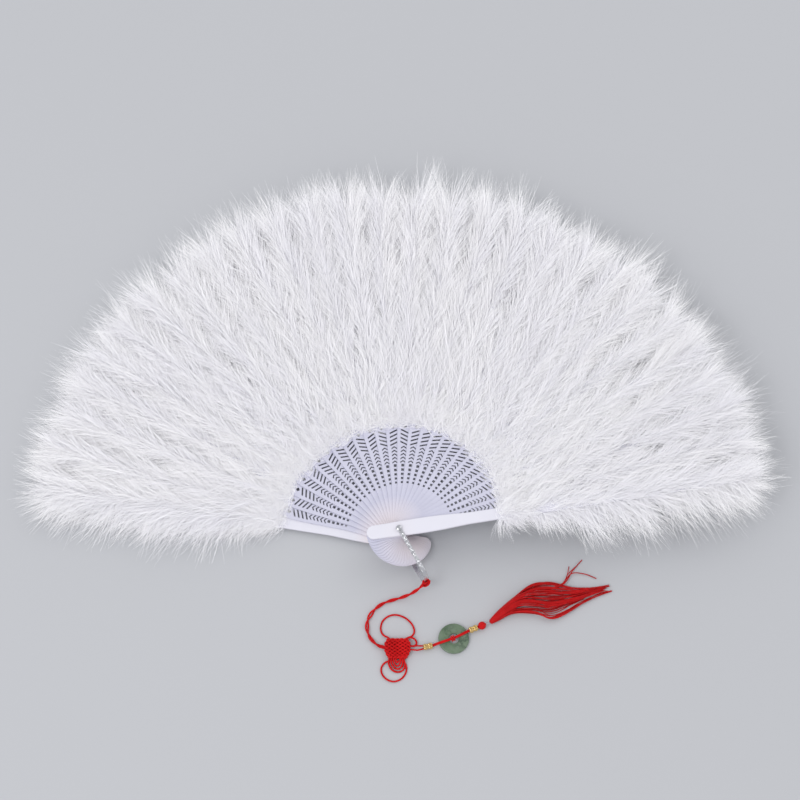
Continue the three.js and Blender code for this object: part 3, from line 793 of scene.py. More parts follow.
def grid_faces(rows, sides, closed=False):
    """Faces between neighbouring rings of points, with an end face at each end."""
    grid = np.arange(rows * sides).reshape(rows, sides)
    after = np.roll(grid, -1, 0) if closed else grid[1:]
    before = grid if closed else grid[:-1]
    ring = [before, np.roll(before, -1, 1), np.roll(after, -1, 1), after]
    faces = np.stack(ring, -1).reshape(-1, 4).tolist()
    if not closed:
        faces += [grid[0, ::-1].tolist(), grid[-1].tolist()]
    return faces


def sweep(line, sections):
    """A solid along a line. Each of its points has a section, across and up."""
    _, across, up = carried_frames(line)
    sections = np.broadcast_to(sections, (len(line), *np.shape(sections)[-2:]))
    rings = line[:, None] + sections[..., :1] * across[:, None] + sections[..., 1:] * up[:, None]
    return rings.reshape(-1, 3), grid_faces(*rings.shape[:2])


def around(sides):
    """Evenly spaced angles of a full turn."""
    return np.linspace(0, math.tau, sides, endpoint=False)


def strand(line, diameter, pitch=3.4, groove=0.2, sides=15):
    """A strand of three twisted plies, rounded off at its ends."""
    phi = around(sides)
    run = run_along(line)[:, None]
    ripple = np.abs(np.cos(1.5 * (phi - run * math.tau / pitch)))
    near_end = np.minimum(run, run[-1] - run) / (diameter / 2)
    close = np.sqrt(1 - (1 - np.clip(near_end, 0, 1)) ** 2) * 0.9 + 0.1
    radius = diameter / 2 * (1 - groove + groove * ripple) * close
    return sweep(line, radius[..., None] * np.stack([np.cos(phi), np.sin(phi)], -1))


def wound_pair(line, offset, pitch, start=0):
    """The middles of two strands that wind round a line."""
    _, across, up = carried_frames(line)
    turn = (start + run_along(line) * math.tau / pitch)[:, None]
    lean = np.reshape(offset, (-1, 1)) * (np.cos(turn) * across + np.sin(turn) * up)
    return line + lean, line - lean


def lathe(profile, sides, flutes=0, depth=0, closed=False):
    """A turned solid about the Z axis from radii and heights, with grooves along it."""
    radius, height = np.array(profile, float).T
    phi = around(sides)
    swell = 1 - depth * (1 - np.abs(np.cos(flutes * phi / 2))) if flutes else 1 + 0 * phi
    x = radius[:, None] * swell * np.cos(phi)
    y = radius[:, None] * swell * np.sin(phi)
    points = np.stack([x, y, height[:, None] + 0 * x], -1).reshape(-1, 3)
    return points, grid_faces(len(radius), sides, closed)


def laid(part, start, end):
    """Turns a piece that stands on the origin so that it runs from one point to another."""
    points, faces = part
    turn = (Vector(end) - Vector(start)).to_track_quat("Z", "Y").to_matrix()
    return points @ np.array(turn).T + np.array(start), faces


def solid(name, parts, material, sharp=50):
    """One piece from parts given in millimetres."""
    points, faces, start = [], [], 0
    for part_points, part_faces in parts:
        points.append(part_points)
        faces += [[start + corner for corner in face] for face in part_faces]
        start += len(part_points)
    mesh = bpy.data.meshes.new(name)
    mesh.from_pydata((np.vstack(points) * MM).tolist(), [], faces)
    shape = bmesh.new()
    shape.from_mesh(mesh)
    bmesh.ops.recalc_face_normals(shape, faces=shape.faces)
    shape.to_mesh(mesh)
    shape.free()
    smooth(mesh, sharp)
    return link(name, mesh, material)


# The middles of the cords, in millimetres, as they lie from the bail to the tassel
LEAD_ROUTE = (
    (15.0, -34.0, 12.6), (12.3, -35.7, 10.2), (8.2, -37.3, 6.2), (3.2, -38.6, 2.9),
    (-2.0, -39.9, 1.4), (-7.4, -41.5, 1.2), (-12.6, -44.1, 1.2), (-17.1, -48.4, 1.2),
    (-20.0, -53.5, 1.2), (-20.8, -59.2, 1.2), (-19.4, -64.7, 1.2), (-16.2, -69.0, 1.3),
    (-12.8, -71.5, 1.6), (-10.2, -72.4, 1.9),
)
UPPER_LOOP_ROUTE = (
    (-7.2, -65.9, 1.6), (-10.6, -63.6, 1.0), (-11.9, -59.4, 0.7), (-10.6, -54.6, 0.7),
    (-6.7, -51.2, 0.7), (-1.6, -50.4, 0.7), (4.0, -52.4, 0.7), (8.4, -56.6, 0.7),
    (10.0, -61.2, 0.8), (8.7, -64.5, 1.2), (6.0, -65.9, 1.6),
)
LOWER_LOOP_ROUTE = (
    (-5.4, -81.3, 1.6), (-9.2, -82.7, 1.0), (-11.4, -85.9, 0.7), (-11.0, -90.0, 0.7),
    (-8.0, -93.6, 0.7), (-3.4, -95.1, 0.7), (1.2, -93.5, 0.7), (4.2, -89.8, 0.7),
    (4.9, -85.8, 0.7), (3.9, -82.9, 1.0), (1.6, -81.3, 1.6),
)
TAIL_ROUTE = (
    (8.2, -72.9, 2.0), (12.0, -73.0, 2.1), (15.6, -72.6, 2.1), (18.8, -72.0, 2.1),
    (22.0, -71.3, 2.2), (25.0, -70.4, 3.2), (28.5, -69.2, 3.55), (32.0, -68.0, 3.5),
    (35.6, -66.6, 3.1), (39.2, -65.0, 3.5), (42.6, -63.3, 3.55), (45.8, -61.6, 3.3),
    (48.4, -60.4, 2.9), (51.1, -59.2, 2.65), (54.0, -58.1, 2.6), (56.4, -57.2, 2.6),
)
STRAND_SPACING = 0.45
# How far the lead's two strands lie from its middle, with a looser place on the way, and
# the length in which they wind round it once
LEAD_APART, LEAD_LOOSER, LEAD_LOOSE_PLACE, LEAD_LOOSE_WIDTH = 0.56, 0.4, 0.66, 0.13
LEAD_PITCH = 17
# The same for the tail's strands, at shares of the way from the knot to the last bead
TAIL_APART = ((0, 1.2), (0.07, 1.5), (0.13, 1.1), (0.2, 0.42), (0.3, 0.4), (1, 0.4))
TAIL_STRAND = 1.05
# The turns of cord round the bail, and the strand that crosses them: along, aside and up
HITCH_STRAND = 1.24
HITCH_TURNS, HITCH_RISE, HITCH_HALF = 3.4, 1.26, (1.15, 1.98)
HITCH_BRIDGE = ((0.9, -2.7, -0.3), (2.3, -1.2, 1.4), (2.4, 1.0, 3.2), (0.8, 2.6, 4.6))
# The bight at the disc's hole: its place on the tail, its strand and its half sizes
BIGHT_SHARE = 0.555
BIGHT_STRAND, BIGHT_HALF = 1.2, (1.5, 1.15)

# The knot, in millimetres: its middle, its size and the heights of its two mats, and its
# half width as a share of its width, at shares of its height from the lower edge up
KNOT_MIDDLE = (-0.95, -73.6)
KNOT_SIZE = (17.5, 14.0)
KNOT_LEVELS = (1.5, 3.55)
KNOT_HEIGHT_SHARES = (-0.5, -0.4, -0.09, 0.26, 0.5)
KNOT_HALF_SHARES = (0.3, 0.4, 0.5, 0.5, 0.4)
KNOT_STRAND = 1.4
KNOT_LOOP_STRAND = 1.3
# How often a mat's strand runs across and up, how blunt its turns are, and how high it
# passes over itself
KNOT_TURNS = (6, 5)
KNOT_BLUNTNESS = 0.985
KNOT_PASS = 0.62
# Loops of the knot's own strand: four that hang in one another, and one at its right
KNOT_LOOP_ROUTES = (
    (
        (-6.2, -79.0, 2.4), (-6.6, -83.4, 1.5), (-4.6, -87.2, 0.8), (-1.0, -88.8, 0.7),
        (2.4, -87.6, 0.8), (3.9, -84.2, 1.5), (2.8, -79.6, 2.6),
    ),
    (
        (-4.8, -79.2, 3.0), (-5.0, -83.0, 2.2), (-3.2, -86.0, 1.4), (-0.8, -86.9, 1.2),
        (1.5, -85.7, 1.5), (2.4, -82.8, 2.4), (1.6, -79.2, 3.2),
    ),
    (
        (-3.4, -79.4, 3.4), (-3.5, -82.4, 2.8), (-2.3, -84.6, 2.1), (-0.9, -85.0, 1.9),
        (0.4, -84.1, 2.3), (0.9, -81.8, 3.0), (0.2, -79.0, 3.5),
    ),
    (
        (-2.2, -80.2, 3.6), (-1.9, -82.3, 3.1), (-0.9, -83.0, 2.8), (-0.3, -81.6, 3.4),
    ),
    (
        (5.6, -66.4, 3.2), (8.6, -66.3, 2.6), (10.8, -67.7, 1.8), (11.4, -69.9, 1.4),
        (10.0, -71.6, 1.5), (7.2, -71.7, 2.6),
    ),
)


def cord_finish(name, tone, gloss=0.5):
    """Silky twisted yarn: streaks of lighter and darker red and a fine fibrous surface."""
    shade = Shade(name, Specular_IOR_Level=0.14, Sheen_Weight=0.04)
    patch = shade.ramp(shade.noise(160, detail=4, rough=0.65), (0.32, 0.0), (0.68, 1.0))
    fibre = shade.noise(3200, detail=2)
    dark = tuple(0.62 * channel for channel in tone)
    light = tuple(channel + 0.03 * (1 - channel) * (0.2 + channel) for channel in tone)
    return shade.set(
        Base_Color=shade.mix(patch * 0.6 + fibre * 0.4, dark, light),
        Roughness=gloss + 0.2 * fibre,
        Normal=shade.bump(fibre, 0.35, 0.0002),
    )


def crossings(line):
    """Where a flat closed line crosses itself, as places along it in order."""
    start, step = line[:, :2], np.roll(line[:, :2], -1, 0) - line[:, :2]
    gap = start[None] - start[:, None]
    cross = step[:, None, 0] * step[None, :, 1] - step[:, None, 1] * step[None, :, 0]
    cross = np.where(np.abs(cross) < 1e-9, np.inf, cross)
    first = (gap[..., 0] * step[None, :, 1] - gap[..., 1] * step[None, :, 0]) / cross
    second = (gap[..., 0] * step[:, None, 1] - gap[..., 1] * step[:, None, 0]) / cross
    meet = (first >= 0) & (first < 1) & (second >= 0) & (second < 1)
    one, other = np.nonzero(meet & (np.abs(cross) < np.inf))
    far = np.abs(one - other)
    kept = (far > 2) & (far < len(line) - 2)
    return np.sort(one[kept] + first[one[kept], other[kept]])


def woven_mat(level, mirror):
    """One strand that runs slantwise to and fro through the knot, over and under itself."""
    t = np.linspace(0, math.tau, 1200, endpoint=False) + 0.01
    blunt, columns, rows = KNOT_BLUNTNESS, *KNOT_TURNS
    u = np.arcsin(blunt * np.sin(columns * t)) / math.asin(blunt) * mirror
    v = np.arcsin(blunt * np.cos(rows * t)) / math.asin(blunt)
    width, height = (size - KNOT_STRAND for size in KNOT_SIZE)
    half = 2 * np.interp(v / 2, KNOT_HEIGHT_SHARES, KNOT_HALF_SHARES)
    x = KNOT_MIDDLE[0] + u * half * width / 2
    y = KNOT_MIDDLE[1] + v * height / 2
    line = np.stack([x, y, 0 * x], 1)
    meets = crossings(line)
    heights = KNOT_PASS * (-1.0) ** np.arange(len(meets))
    places = np.concatenate([[meets[-1] - len(line)], meets, [meets[0] + len(line)]])
    heights = np.concatenate([heights[-1:], heights, heights[:1]])
    line[:, 2] = level + np.interp(np.arange(len(line)), places, heights)
    return evenly(np.vstack([line, line[:2]]), STRAND_SPACING)


def lay_cord(name, line, diameter, parts, material, node, **facts):
    """A cord whose parts follow a line, in place of its plain solid."""
    piece = settle(solid(name, parts, material), "bail", "red_cord", node)
    path = line * MM
    diameter * MM


class FAN_OT_cords(bpy.types.Operator):
    """Lay the cord, weave its knot and put both in place"""

    bl_idname = "fan.cords"
    bl_label = "Cords and knot"

    def execute(self, context):
        sizes = context.scene.fan_pendant
        cord = cord_finish("red_cord", tuple(sizes.cord))
        width = sizes.strand / MM

        mats = [woven_mat(level, side) for level, side in zip(KNOT_LEVELS, (1, -1))]
        parts = [strand(mat, KNOT_STRAND) for mat in mats]
        for route in KNOT_LOOP_ROUTES:
            parts.append(strand(smooth_line(route, STRAND_SPACING), KNOT_LOOP_STRAND))
        knot = settle(solid("knot_weave", parts, cord), "bail", "red_cord", "knot")

        line = smooth_line(LEAD_ROUTE, STRAND_SPACING)
        share = run_along(line) / run_along(line)[-1]
        nearness = (share - LEAD_LOOSE_PLACE) / LEAD_LOOSE_WIDTH
        apart = LEAD_APART + LEAD_LOOSER * np.exp(-(nearness**2))
        pair = wound_pair(line, apart, LEAD_PITCH, 0.4)
        for part in pair:
            part[:, 2] = np.maximum(part[:, 2], width / 2)
        parts = [strand(reaching(part, 1.2, 1.4), width) for part in pair]
        ends = {"far_end": "knot", "with_pieces": [knot]}
        lay_cord("lead_strands", line, 2.4, parts, cord, "lead_cord", **ends)

        loops = (("upper", UPPER_LOOP_ROUTE), ("lower", LOWER_LOOP_ROUTE))
        for name, route in loops:
            line = smooth_line(route, STRAND_SPACING)
            node = f"knot_loop_{name}"
            parts = [strand(reaching(line, 1.6, 1.6), width)]
            lay_cord(f"{node}_strand", line, 1.3, parts, cord, node, far_end="object")

        line = smooth_line(TAIL_ROUTE, STRAND_SPACING)
        share = run_along(line) / run_along(line)[-1]
        apart = np.interp(share, *np.array(TAIL_APART).T)
        _, across, _ = carried_frames(line)
        lean = apart[:, None] * across
        pair = line + lean, line - lean
        parts = [strand(reaching(part, 1.6, 0.4), TAIL_STRAND) for part in pair]
        lay_cord("tail_strands", line, 1.6, parts, cord, "tail_cord", far_end="object")

        self.hitches(cord, line)
        return {"FINISHED"}

    def hitches(self, cord, tail):
        """The turns of cord round the bail, and the bight at the hole of the disc."""
        turn = np.linspace(0, HITCH_TURNS * math.tau, 140)[:, None]
        ahead = np.array((math.cos(BAIL_ANGLE), math.sin(BAIL_ANGLE), 0))
        across = np.array((-ahead[1], ahead[0], 0))
        middle = BAIL_REACH * ahead + np.array((0, 0, 10.6))
        rise = np.array((0, 0, HITCH_RISE)) * turn / math.tau
        long, wide = HITCH_HALF
        coil = middle + rise + long * np.cos(turn) * ahead - wide * np.sin(turn) * across
        coil = np.vstack([coil, LEAD_ROUTE[0]])
        bridge = [
            middle + along * ahead + aside * across + np.array((0, 0, high))
            for along, aside, high in HITCH_BRIDGE
        ]
        lines = (evenly(coil, STRAND_SPACING), smooth_line(bridge, STRAND_SPACING))
        parts = [strand(line, HITCH_STRAND) for line in lines]
        settle(solid("bail_hitch", parts, cord), "bail", "red_cord", "cord_wrap")

        place = points_at(tail, BIGHT_SHARE * run_along(tail)[-1])
        _, across, _ = carried_frames(tail)
        middle = int(len(tail) * BIGHT_SHARE)
        side, ahead = across[middle], unit(tail[middle + 1] - tail[middle])
        bend = np.radians(np.linspace(-30, 210, 16))[:, None]
        wide, high = BIGHT_HALF
        ring = wide * np.cos(bend) * side + high * np.sin(bend) * np.array((0, 0, 1))
        parts = []
        for shift in (-1.3, 0.0):
            bight = evenly(place + ahead * shift + ring, STRAND_SPACING)
            parts.append(strand(bight, BIGHT_STRAND))
        settle(solid("disc_hitch", parts, cord), "bail", "red_cord")


# The bail, in millimetres: a flat strip bent to a U round the stack
BAIL_ANGLE = math.radians(-61)
BAIL_REACH = 36
BAIL_CORNER = 4
BAIL_RISE = 4.6
BAIL_BACK_FLAT = 8
BAIL_WIDTH = 2.6
BAIL_THICKNESS = 0.7
# The bore of what sits on the rivet's shank
SHANK_BORE = 1.14
# The eye at the end of each leg: its radius, and its rounded rim with heights
BAIL_EYE = 2.0
BAIL_RIM = ((1.86, -0.35), (BAIL_EYE, -0.2), (BAIL_EYE, 0.2), (1.86, 0.35))


def metal(name, tone, rough, scratch):
    """Plated metal with fine scratches and slightly dulled patches."""
    shade = Shade(name, Metallic=1.0)
    patch = shade.noise(240, detail=4)
    fine = shade.noise(5200, detail=2)
    dull = tuple(0.86 * channel for channel in tone)
    return shade.set(
        Base_Color=shade.mix(patch, dull, tone),
        Roughness=rough + 0.14 * patch,
        Normal=shade.bump(fine, scratch, 0.0001),
    )


def silver_finish(context):
    """The bright metal of the rivet, the bail and the pin."""
    return metal("silver_metal", tuple(context.scene.fan_metal.silver), 0.2, 0.12)


def rounded_strip(width, thickness, corner):
    """A strip's section, with rounded corners."""
    points = []
    for side, (sx, sy) in enumerate(((1, 1), (-1, 1), (-1, -1), (1, -1))):
        x, y = sx * (width / 2 - corner), sy * (thickness / 2 - corner)
        quarter = math.pi / 2
        points += arc_points(x, y, corner, side * quarter, (side + 1) * quarter, 3)
    return np.array(points)


def bail_line(front, back):
    """The middle of the bail in its own upright plane, from the front leg to the back one."""
    quarter = math.pi / 2
    bend = BAIL_REACH - BAIL_CORNER
    upper = arc_points(bend, front - BAIL_CORNER, BAIL_CORNER, quarter, 0, 8)
    lower = arc_points(bend, back + BAIL_RISE + BAIL_CORNER, BAIL_CORNER, 0, -quarter, 8)
    start = BAIL_EYE - 0.4
    points = [(start, front), *upper, *lower, (BAIL_BACK_FLAT, back), (start, back)]
    flat = np.array([(x, 0, z) for x, z in points])
    return evenly(flat, 0.6)


def scrolls(top):
    """A raised vine with curls along the front leg of the bail."""
    x = np.linspace(4, 31, 110)
    vine = np.stack([x, 0.62 * np.sin(x * math.tau / 4.2), top + 0 * x], 1)
    parts = [vine]
    for k in range(12):
        side = -1 if k % 2 else 1
        turn = np.linspace(0, 1.5 * math.tau, 22)
        size = 0.62 * (1 - 0.7 * turn / turn[-1])
        curl_x = 4.9 + 2.1 * k + size * np.cos(turn)
        curl_y = side * (-0.42 + size * np.sin(turn))
        parts.append(np.stack([curl_x, curl_y, top + 0 * turn], 1))
    return parts


class FAN_OT_rivet_and_bail(bpy.types.Operator):
    """Turn the rivet and bend the bail with its raised ornament"""

    bl_idname = "fan.rivet_and_bail"
    bl_label = "Rivet and bail"

    def execute(self, context):
        sizes = context.scene.fan_metal
        silver = silver_finish(context)
        head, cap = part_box("rivet_pin"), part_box("rivet_cap")
        top, foot, crown = (z / MM for z in (head[1].z, cap[0].z, cap[1].z))
        shank = [(0.02, 0), (1.3, 0.04), (1.95, 0.3), (2.18, 0.62), (2.2, 0.8), (2.1, 0.88)]
        shank += [(1.05, 0.9), (1.0, 1.0), (1.0, top - 0.1), (0.9, top), (0.02, top)]
        piece = solid("rivet_shank", [lathe(shank, 40)], silver, 35)
        settle(piece, "base", "silver_metal", "rivet_pin")
        rise = crown - foot
        dome = [(SHANK_BORE, foot), (1.75, foot), (1.9, foot + 0.12), (1.9, foot + 0.3)]
        for angle in np.radians(np.linspace(0, 84, 9)):
            dome.append((1.78 * math.cos(angle), foot + 0.34 + (rise - 0.34) * math.sin(angle)))
        dome += [(0.02, crown), (0.02, foot + 0.62), (SHANK_BORE, foot + 0.62)]
        parts = [lathe(dome, 40, closed=True)]
        settle(solid("rivet_dome", parts, silver, 35), "base", "silver_metal", "rivet_cap")

        low, high = (corner.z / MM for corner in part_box("bail"))
        front, back = high - BAIL_THICKNESS / 2, low + BAIL_THICKNESS / 2
        strip = rounded_strip(BAIL_WIDTH, BAIL_THICKNESS, 0.16)
        parts = [sweep(bail_line(front, back), strip)]
        for middle in (front, back):
            ring = [(rim, middle + z) for rim, z in BAIL_RIM]
            ring += [(SHANK_BORE, middle + 0.35), (SHANK_BORE, middle - 0.35)]
            parts.append(lathe(ring, 40, closed=True))
        phi = around(8)
        section = sizes.relief / MM * np.stack([np.cos(phi), np.sin(phi)], -1)
        parts += [sweep(line, section) for line in scrolls(high)]
        turn = np.array(Matrix.Rotation(BAIL_ANGLE, 3, "Z"))
        parts = [(points @ turn.T, faces) for points, faces in parts]
        settle(solid("bail_strip", parts, silver, 35), "bail", "silver_metal", "bail")
        return {"FINISHED"}


# Beads and disc, in millimetres. A bead's place is its share of the tail cord's length
GOLD_BEAD_PLACES = (0.2075, 0.8315)
GOLD_BEAD_LENGTH, GOLD_BEAD_RADIUS, GOLD_BEAD_LOBES = 6, 2.1, 8
RED_BEAD_PLACE, RED_BEAD_RADIUS = 0.951, 2.6
DISC_RIM, DISC_HOLE = 9.85, 3.55


def threaded(share, length):
    """The two ends of a piece of this length on the tail cord."""
    line = smooth_line(TAIL_ROUTE, 0.1)
    middle = share * run_along(line)[-1]
    return points_at(line, [middle - length / 2, middle + length / 2])


def disc_edge(radius, swell, half):
    """The rounded edge of the disc from its lower face to its upper one."""
    angles = np.linspace(-math.pi / 2, math.pi / 2, 9)
    return [(radius + swell * math.cos(a), half + (half - 0.1) * math.sin(a)) for a in angles]


def stone(name, tone, vein):
    """Polished green stone: cloudy, with dark veins, pale flecks and a clear coat."""
    shade = Shade(name, Coat_Weight=0.5, Coat_Roughness=0.08, Specular_IOR_Level=0.5)
    cloud = shade.ramp(shade.noise(170, detail=5, rough=0.6), (0.3, 0.0), (0.72, 1.0))
    pale = tuple(0.8 * channel + 0.09 for channel in tone)
    body = shade.mix(cloud, tone, pale)
    wisp = shade.noise(95, detail=6, rough=0.7)
    near = shade.node("Math", {"operation": "ABSOLUTE"}, (wisp - 0.5,))
    dark = shade.ramp(near, (0.0, 1.0), (0.07, 0.0))
    spots = shade.ramp(shade.noise(60, detail=3), (0.42, 0.0), (0.58, 1.0))
    return shade.set(
        Base_Color=shade.mix(dark * spots, body, vein),
        Roughness=0.22 + 0.15 * cloud,
        Normal=shade.bump(cloud, 0.08, 0.0002),
    )


class FAN_OT_beads_and_disc(bpy.types.Operator):
    """Make the beads and the stone disc"""

    bl_idname = "fan.beads_and_disc"
    bl_label = "Beads and disc"

    def execute(self, context):
        metals, pendant = context.scene.fan_metal, context.scene.fan_pendant
        gold = metal("gold_metal", tuple(metals.gold), 0.16, 0.2)
        s = np.linspace(0, 1, 29)
        lobes = GOLD_BEAD_RADIUS * (0.72 + 0.28 * np.abs(np.sin(math.tau * s)) ** 0.7)
        outside = list(zip(lobes, GOLD_BEAD_LENGTH * s))
        profile = [(1.15, 0.12), *outside, (1.15, GOLD_BEAD_LENGTH - 0.12)]
        part = lathe(profile, 64, flutes=GOLD_BEAD_LOBES, depth=0.16, closed=True)
        for number, share in enumerate(GOLD_BEAD_PLACES, 1):
            name = f"gold_bead_{number}"
            ends = threaded(share, GOLD_BEAD_LENGTH)
            piece = solid(f"{name}_crimped", [laid(part, *ends)], gold)
            settle(piece, "bail", "gold_metal", name)

        angles = np.radians(np.linspace(-64, 64, 25))
        ball = RED_BEAD_RADIUS
        outside = [(ball * math.cos(a), ball + ball * math.sin(a)) for a in angles]
        part = lathe(outside, 72, flutes=18, depth=0.09, closed=True)
        wound = cord_finish("red_bead", tuple(pendant.cord), 0.3)
        piece = solid("red_bead_wound", [laid(part, *threaded(RED_BEAD_PLACE, 2 * ball))], wound)
        settle(piece, "bail", "red_bead", "red_bead")

        low, high = (Vector(corner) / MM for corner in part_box("jade_disc"))
        middle, half = (low + high) / 2, (high.z - low.z) / 2
        rim, hole = disc_edge(DISC_RIM, 0.25, half), disc_edge(DISC_HOLE, -0.25, half)[::-1]
        outer, inner = DISC_RIM - 0.25, DISC_HOLE + 0.25
        profile = [*rim, (outer, 2 * half), (inner, 2 * half), *hole, (inner, 0), (outer, 0)]
        green = stone("green_stone", tuple(pendant.stone), tuple(pendant.vein))
        points, faces = lathe(profile, 96, closed=True)
        points = points + np.array((middle.x, middle.y, 0))
        piece = solid("jade_disc_polished", [(points, faces)], green, 60)
        settle(piece, "bail", "green_stone", "jade_disc")
        return {"FINISHED"}


# The pin and the tassel's head, in millimetres
PIN_START = (56.73, -57.08, 2.6)
PIN_END = (59.07, -56.2, 2.59)
PIN_PROFILE = ((0.3, 0), (0.4, 0.08), (0.4, 2.42), (0.3, 2.5))
HEAD_START = (59.35, -55.99, 2.6)
HEAD_END = (81.28, -39.46, 4.1)
HEAD_RADIUS = 3.9
# The head's radius, as a share of the widest, at shares of its length
HEAD_SHARES = ((0, 0.28), (0.15, 0.59), (0.45, 0.85), (0.8, 0.97), (1, 1))
SKIRT_START = (81.72, -39.13)
SKIRT_LENGTH = 55.3
SKIRT_HALF = 14
SKIRT_HEIGHT = 7.6
# Along the skirt: the share of its length, how far aside it lies, its half width and its
# height as shares, and its turn in degrees
SKIRT_SHARES = (
    (0.14, -0.034, 0.786, 0.842, 14),
    (0.277, -0.052, 1, 0.684, 0),
    (0.43, -0.031, 0.814, 0.605, 6),
    (0.611, 0.009, 0.486, 0.526, 14),
    (0.819, 0.074, 0.229, 0.395, 18),
    (1, 0.13, 0.16, 0.23, 18),
)
# Threads that stray from the skirt
WISP_ROUTES = (
    ((94, -32.4, 4), (103, -32.2, 3.6), (107.5, -30, 3), (110, -24.5, 2), (111.6, -17.4, 0.7)),
    ((96, -33, 4), (105, -31.6, 3.6), (109.5, -28.2, 3), (113.8, -20.6, 1.6), (120.2, -12.9, 0.7)),
    ((95, -34, 3.6), (104, -32.4, 3), (108.6, -27.4, 2.6), (110.6, -23, 1.4), (115.6, -17.8, 0.7)),
    ((97, -33.6, 3.4), (107, -29.6, 3), (113, -22.6, 2), (121.6, -22.6, 1), (129.4, -25.6, 0.7)),
)
BUNCHES = 17
THREAD_STEPS = 34
THREAD_SMOOTHINGS = 26
# No thread's middle lies lower, so that none dips below the table
THREAD_LOWEST = 0.37


def tassel_lines(count):
    """The threads from the head to the tip, as rows of points in millimetres."""
    rng = np.random.default_rng(77)
    bunch = rng.integers(0, BUNCHES, count)
    middles = around(BUNCHES) + rng.normal(0, 0.12, BUNCHES)
    phi = middles[bunch] + rng.normal(0, 0.11, count)
    rho = np.sqrt(rng.uniform(0.12, 1, BUNCHES))[bunch] * rng.uniform(0.86, 1.06, count)
    start, end = np.array(HEAD_START), np.array(HEAD_END)
    forward = unit(end - start)
    side = unit(np.cross((0, 0, 1), forward))
    up = np.cross(forward, side)
    early = 1 - 0.42 * np.clip(-rho * np.cos(phi) + 0.1, 0, 1)
    stations = []
    for share in (0.02, 0.2, 0.45, 0.7, 0.9):
        share = share * early
        radius = HEAD_RADIUS * np.interp(share, *np.array(HEAD_SHARES).T) * (0.9 + 0.1 * rho)
        spoke = np.cos(phi)[:, None] * side + np.sin(phi)[:, None] * up
        stations.append(start + share[:, None] * (end - start) + radius[:, None] * spoke)
    bunch_sway = rng.normal(0, 0.4, BUNCHES)[bunch]
    for x, y, half, height, turn in SKIRT_SHARES:
        turn = math.radians(turn)
        drift = phi + (bunch_sway + rng.normal(0, 0.12, count)) * x
        wave = 0.5 * np.sin(9 * x + middles[bunch] * 5) + rng.normal(0, 0.25, count)
        across = rho * half * SKIRT_HALF * np.cos(drift) + wave * (1 - 0.7 * x)
        lift = height * SKIRT_HEIGHT * (1 + rho * np.sin(drift)) / 2
        far = x * (1 + 0.03 * rng.normal(0, 1, count) * x)
        px = SKIRT_START[0] + SKIRT_LENGTH * far - across * math.sin(turn)
        py = SKIRT_START[1] + SKIRT_LENGTH * y + across * math.cos(turn)
        stations.append(np.stack([px, py, np.maximum(lift, 0.7)], 1))
    lines = []
    for row in np.stack(stations, 1):
        line = smooth_line(row, 1)
        for _ in range(THREAD_SMOOTHINGS):
            line[1:-1] = (line[:-2] + 2 * line[1:-1] + line[2:]) / 4
        kept = round(len(line) * rng.uniform(0.8, 1))
        lines.append(fixed_steps(line[:kept]))
    lines += [fixed_steps(smooth_line(route, 1)) for route in WISP_ROUTES]
    return np.array(lines)


def fixed_steps(line):
    """The same line in as many steps as every thread has, clear of the table."""
    even = points_at(line, np.linspace(0, run_along(line)[-1], THREAD_STEPS + 1))
    even[:, 2] = np.maximum(even[:, 2], THREAD_LOWEST)
    return even


class FAN_OT_tassel(bpy.types.Operator):
    """Bind the tassel's head and let its threads fall"""

    bl_idname = "fan.tassel"
    bl_label = "Tassel"

    def execute(self, context):
        sizes = context.scene.fan_pendant
        thread = cord_finish("tassel_thread", tuple(sizes.thread), 0.42)
        silver = silver_finish(context)
        part = laid(lathe(PIN_PROFILE, 20), PIN_START, PIN_END)
        piece = solid("tassel_pin_wire", [part], silver, 35)
        settle(piece, "bail", "silver_metal", "tassel_pin")

        span = math.dist(HEAD_START, HEAD_END)
        shares = np.linspace(0, 0.9, 26)
        radii = 0.93 * HEAD_RADIUS * np.interp(shares, *np.array(HEAD_SHARES).T)
        radii *= np.sqrt(1 - (shares / 0.905) ** 6)
        part = lathe([(0.4, -0.1), *zip(radii, shares * span)], 90, 30, 0.1)
        piece = solid("tassel_core", [laid(part, HEAD_START, HEAD_END)], thread)
        settle(piece, "bail", "tassel_thread", "tassel_head")

        lines = tassel_lines(sizes.threads)
        rng = np.random.default_rng(78)
        width = rng.uniform(0.75, 1.15, (len(lines), 1)) + 0 * lines[..., 0]
        mesh = strands_mesh("tassel_threads", lines * MM, thickness=width)
        piece = grow("tassel_threads", mesh, thread_tree(), Width=sizes.width, Finish=thread)
        settle(piece, "bail", "tassel_thread", "tassel_skirt")
        return {"FINISHED"}


def aim(thing, place, target):
    """Puts a lamp or the camera in its place and points it at its target."""
    thing.location = place
    thing.rotation_mode = "QUATERNION"
    thing.rotation_quaternion = (Vector(target) - Vector(place)).to_track_quat("-Z", "Y")


def lamp(name, place, target, power, size):
    """A square lamp that shines on its target."""
    light = bpy.data.lights.new(name, "AREA")
    light.energy = power
    light.size = size
    thing = bpy.data.objects.new(name, light)
    bpy.context.scene.collection.objects.link(thing)
    aim(thing, place, target)


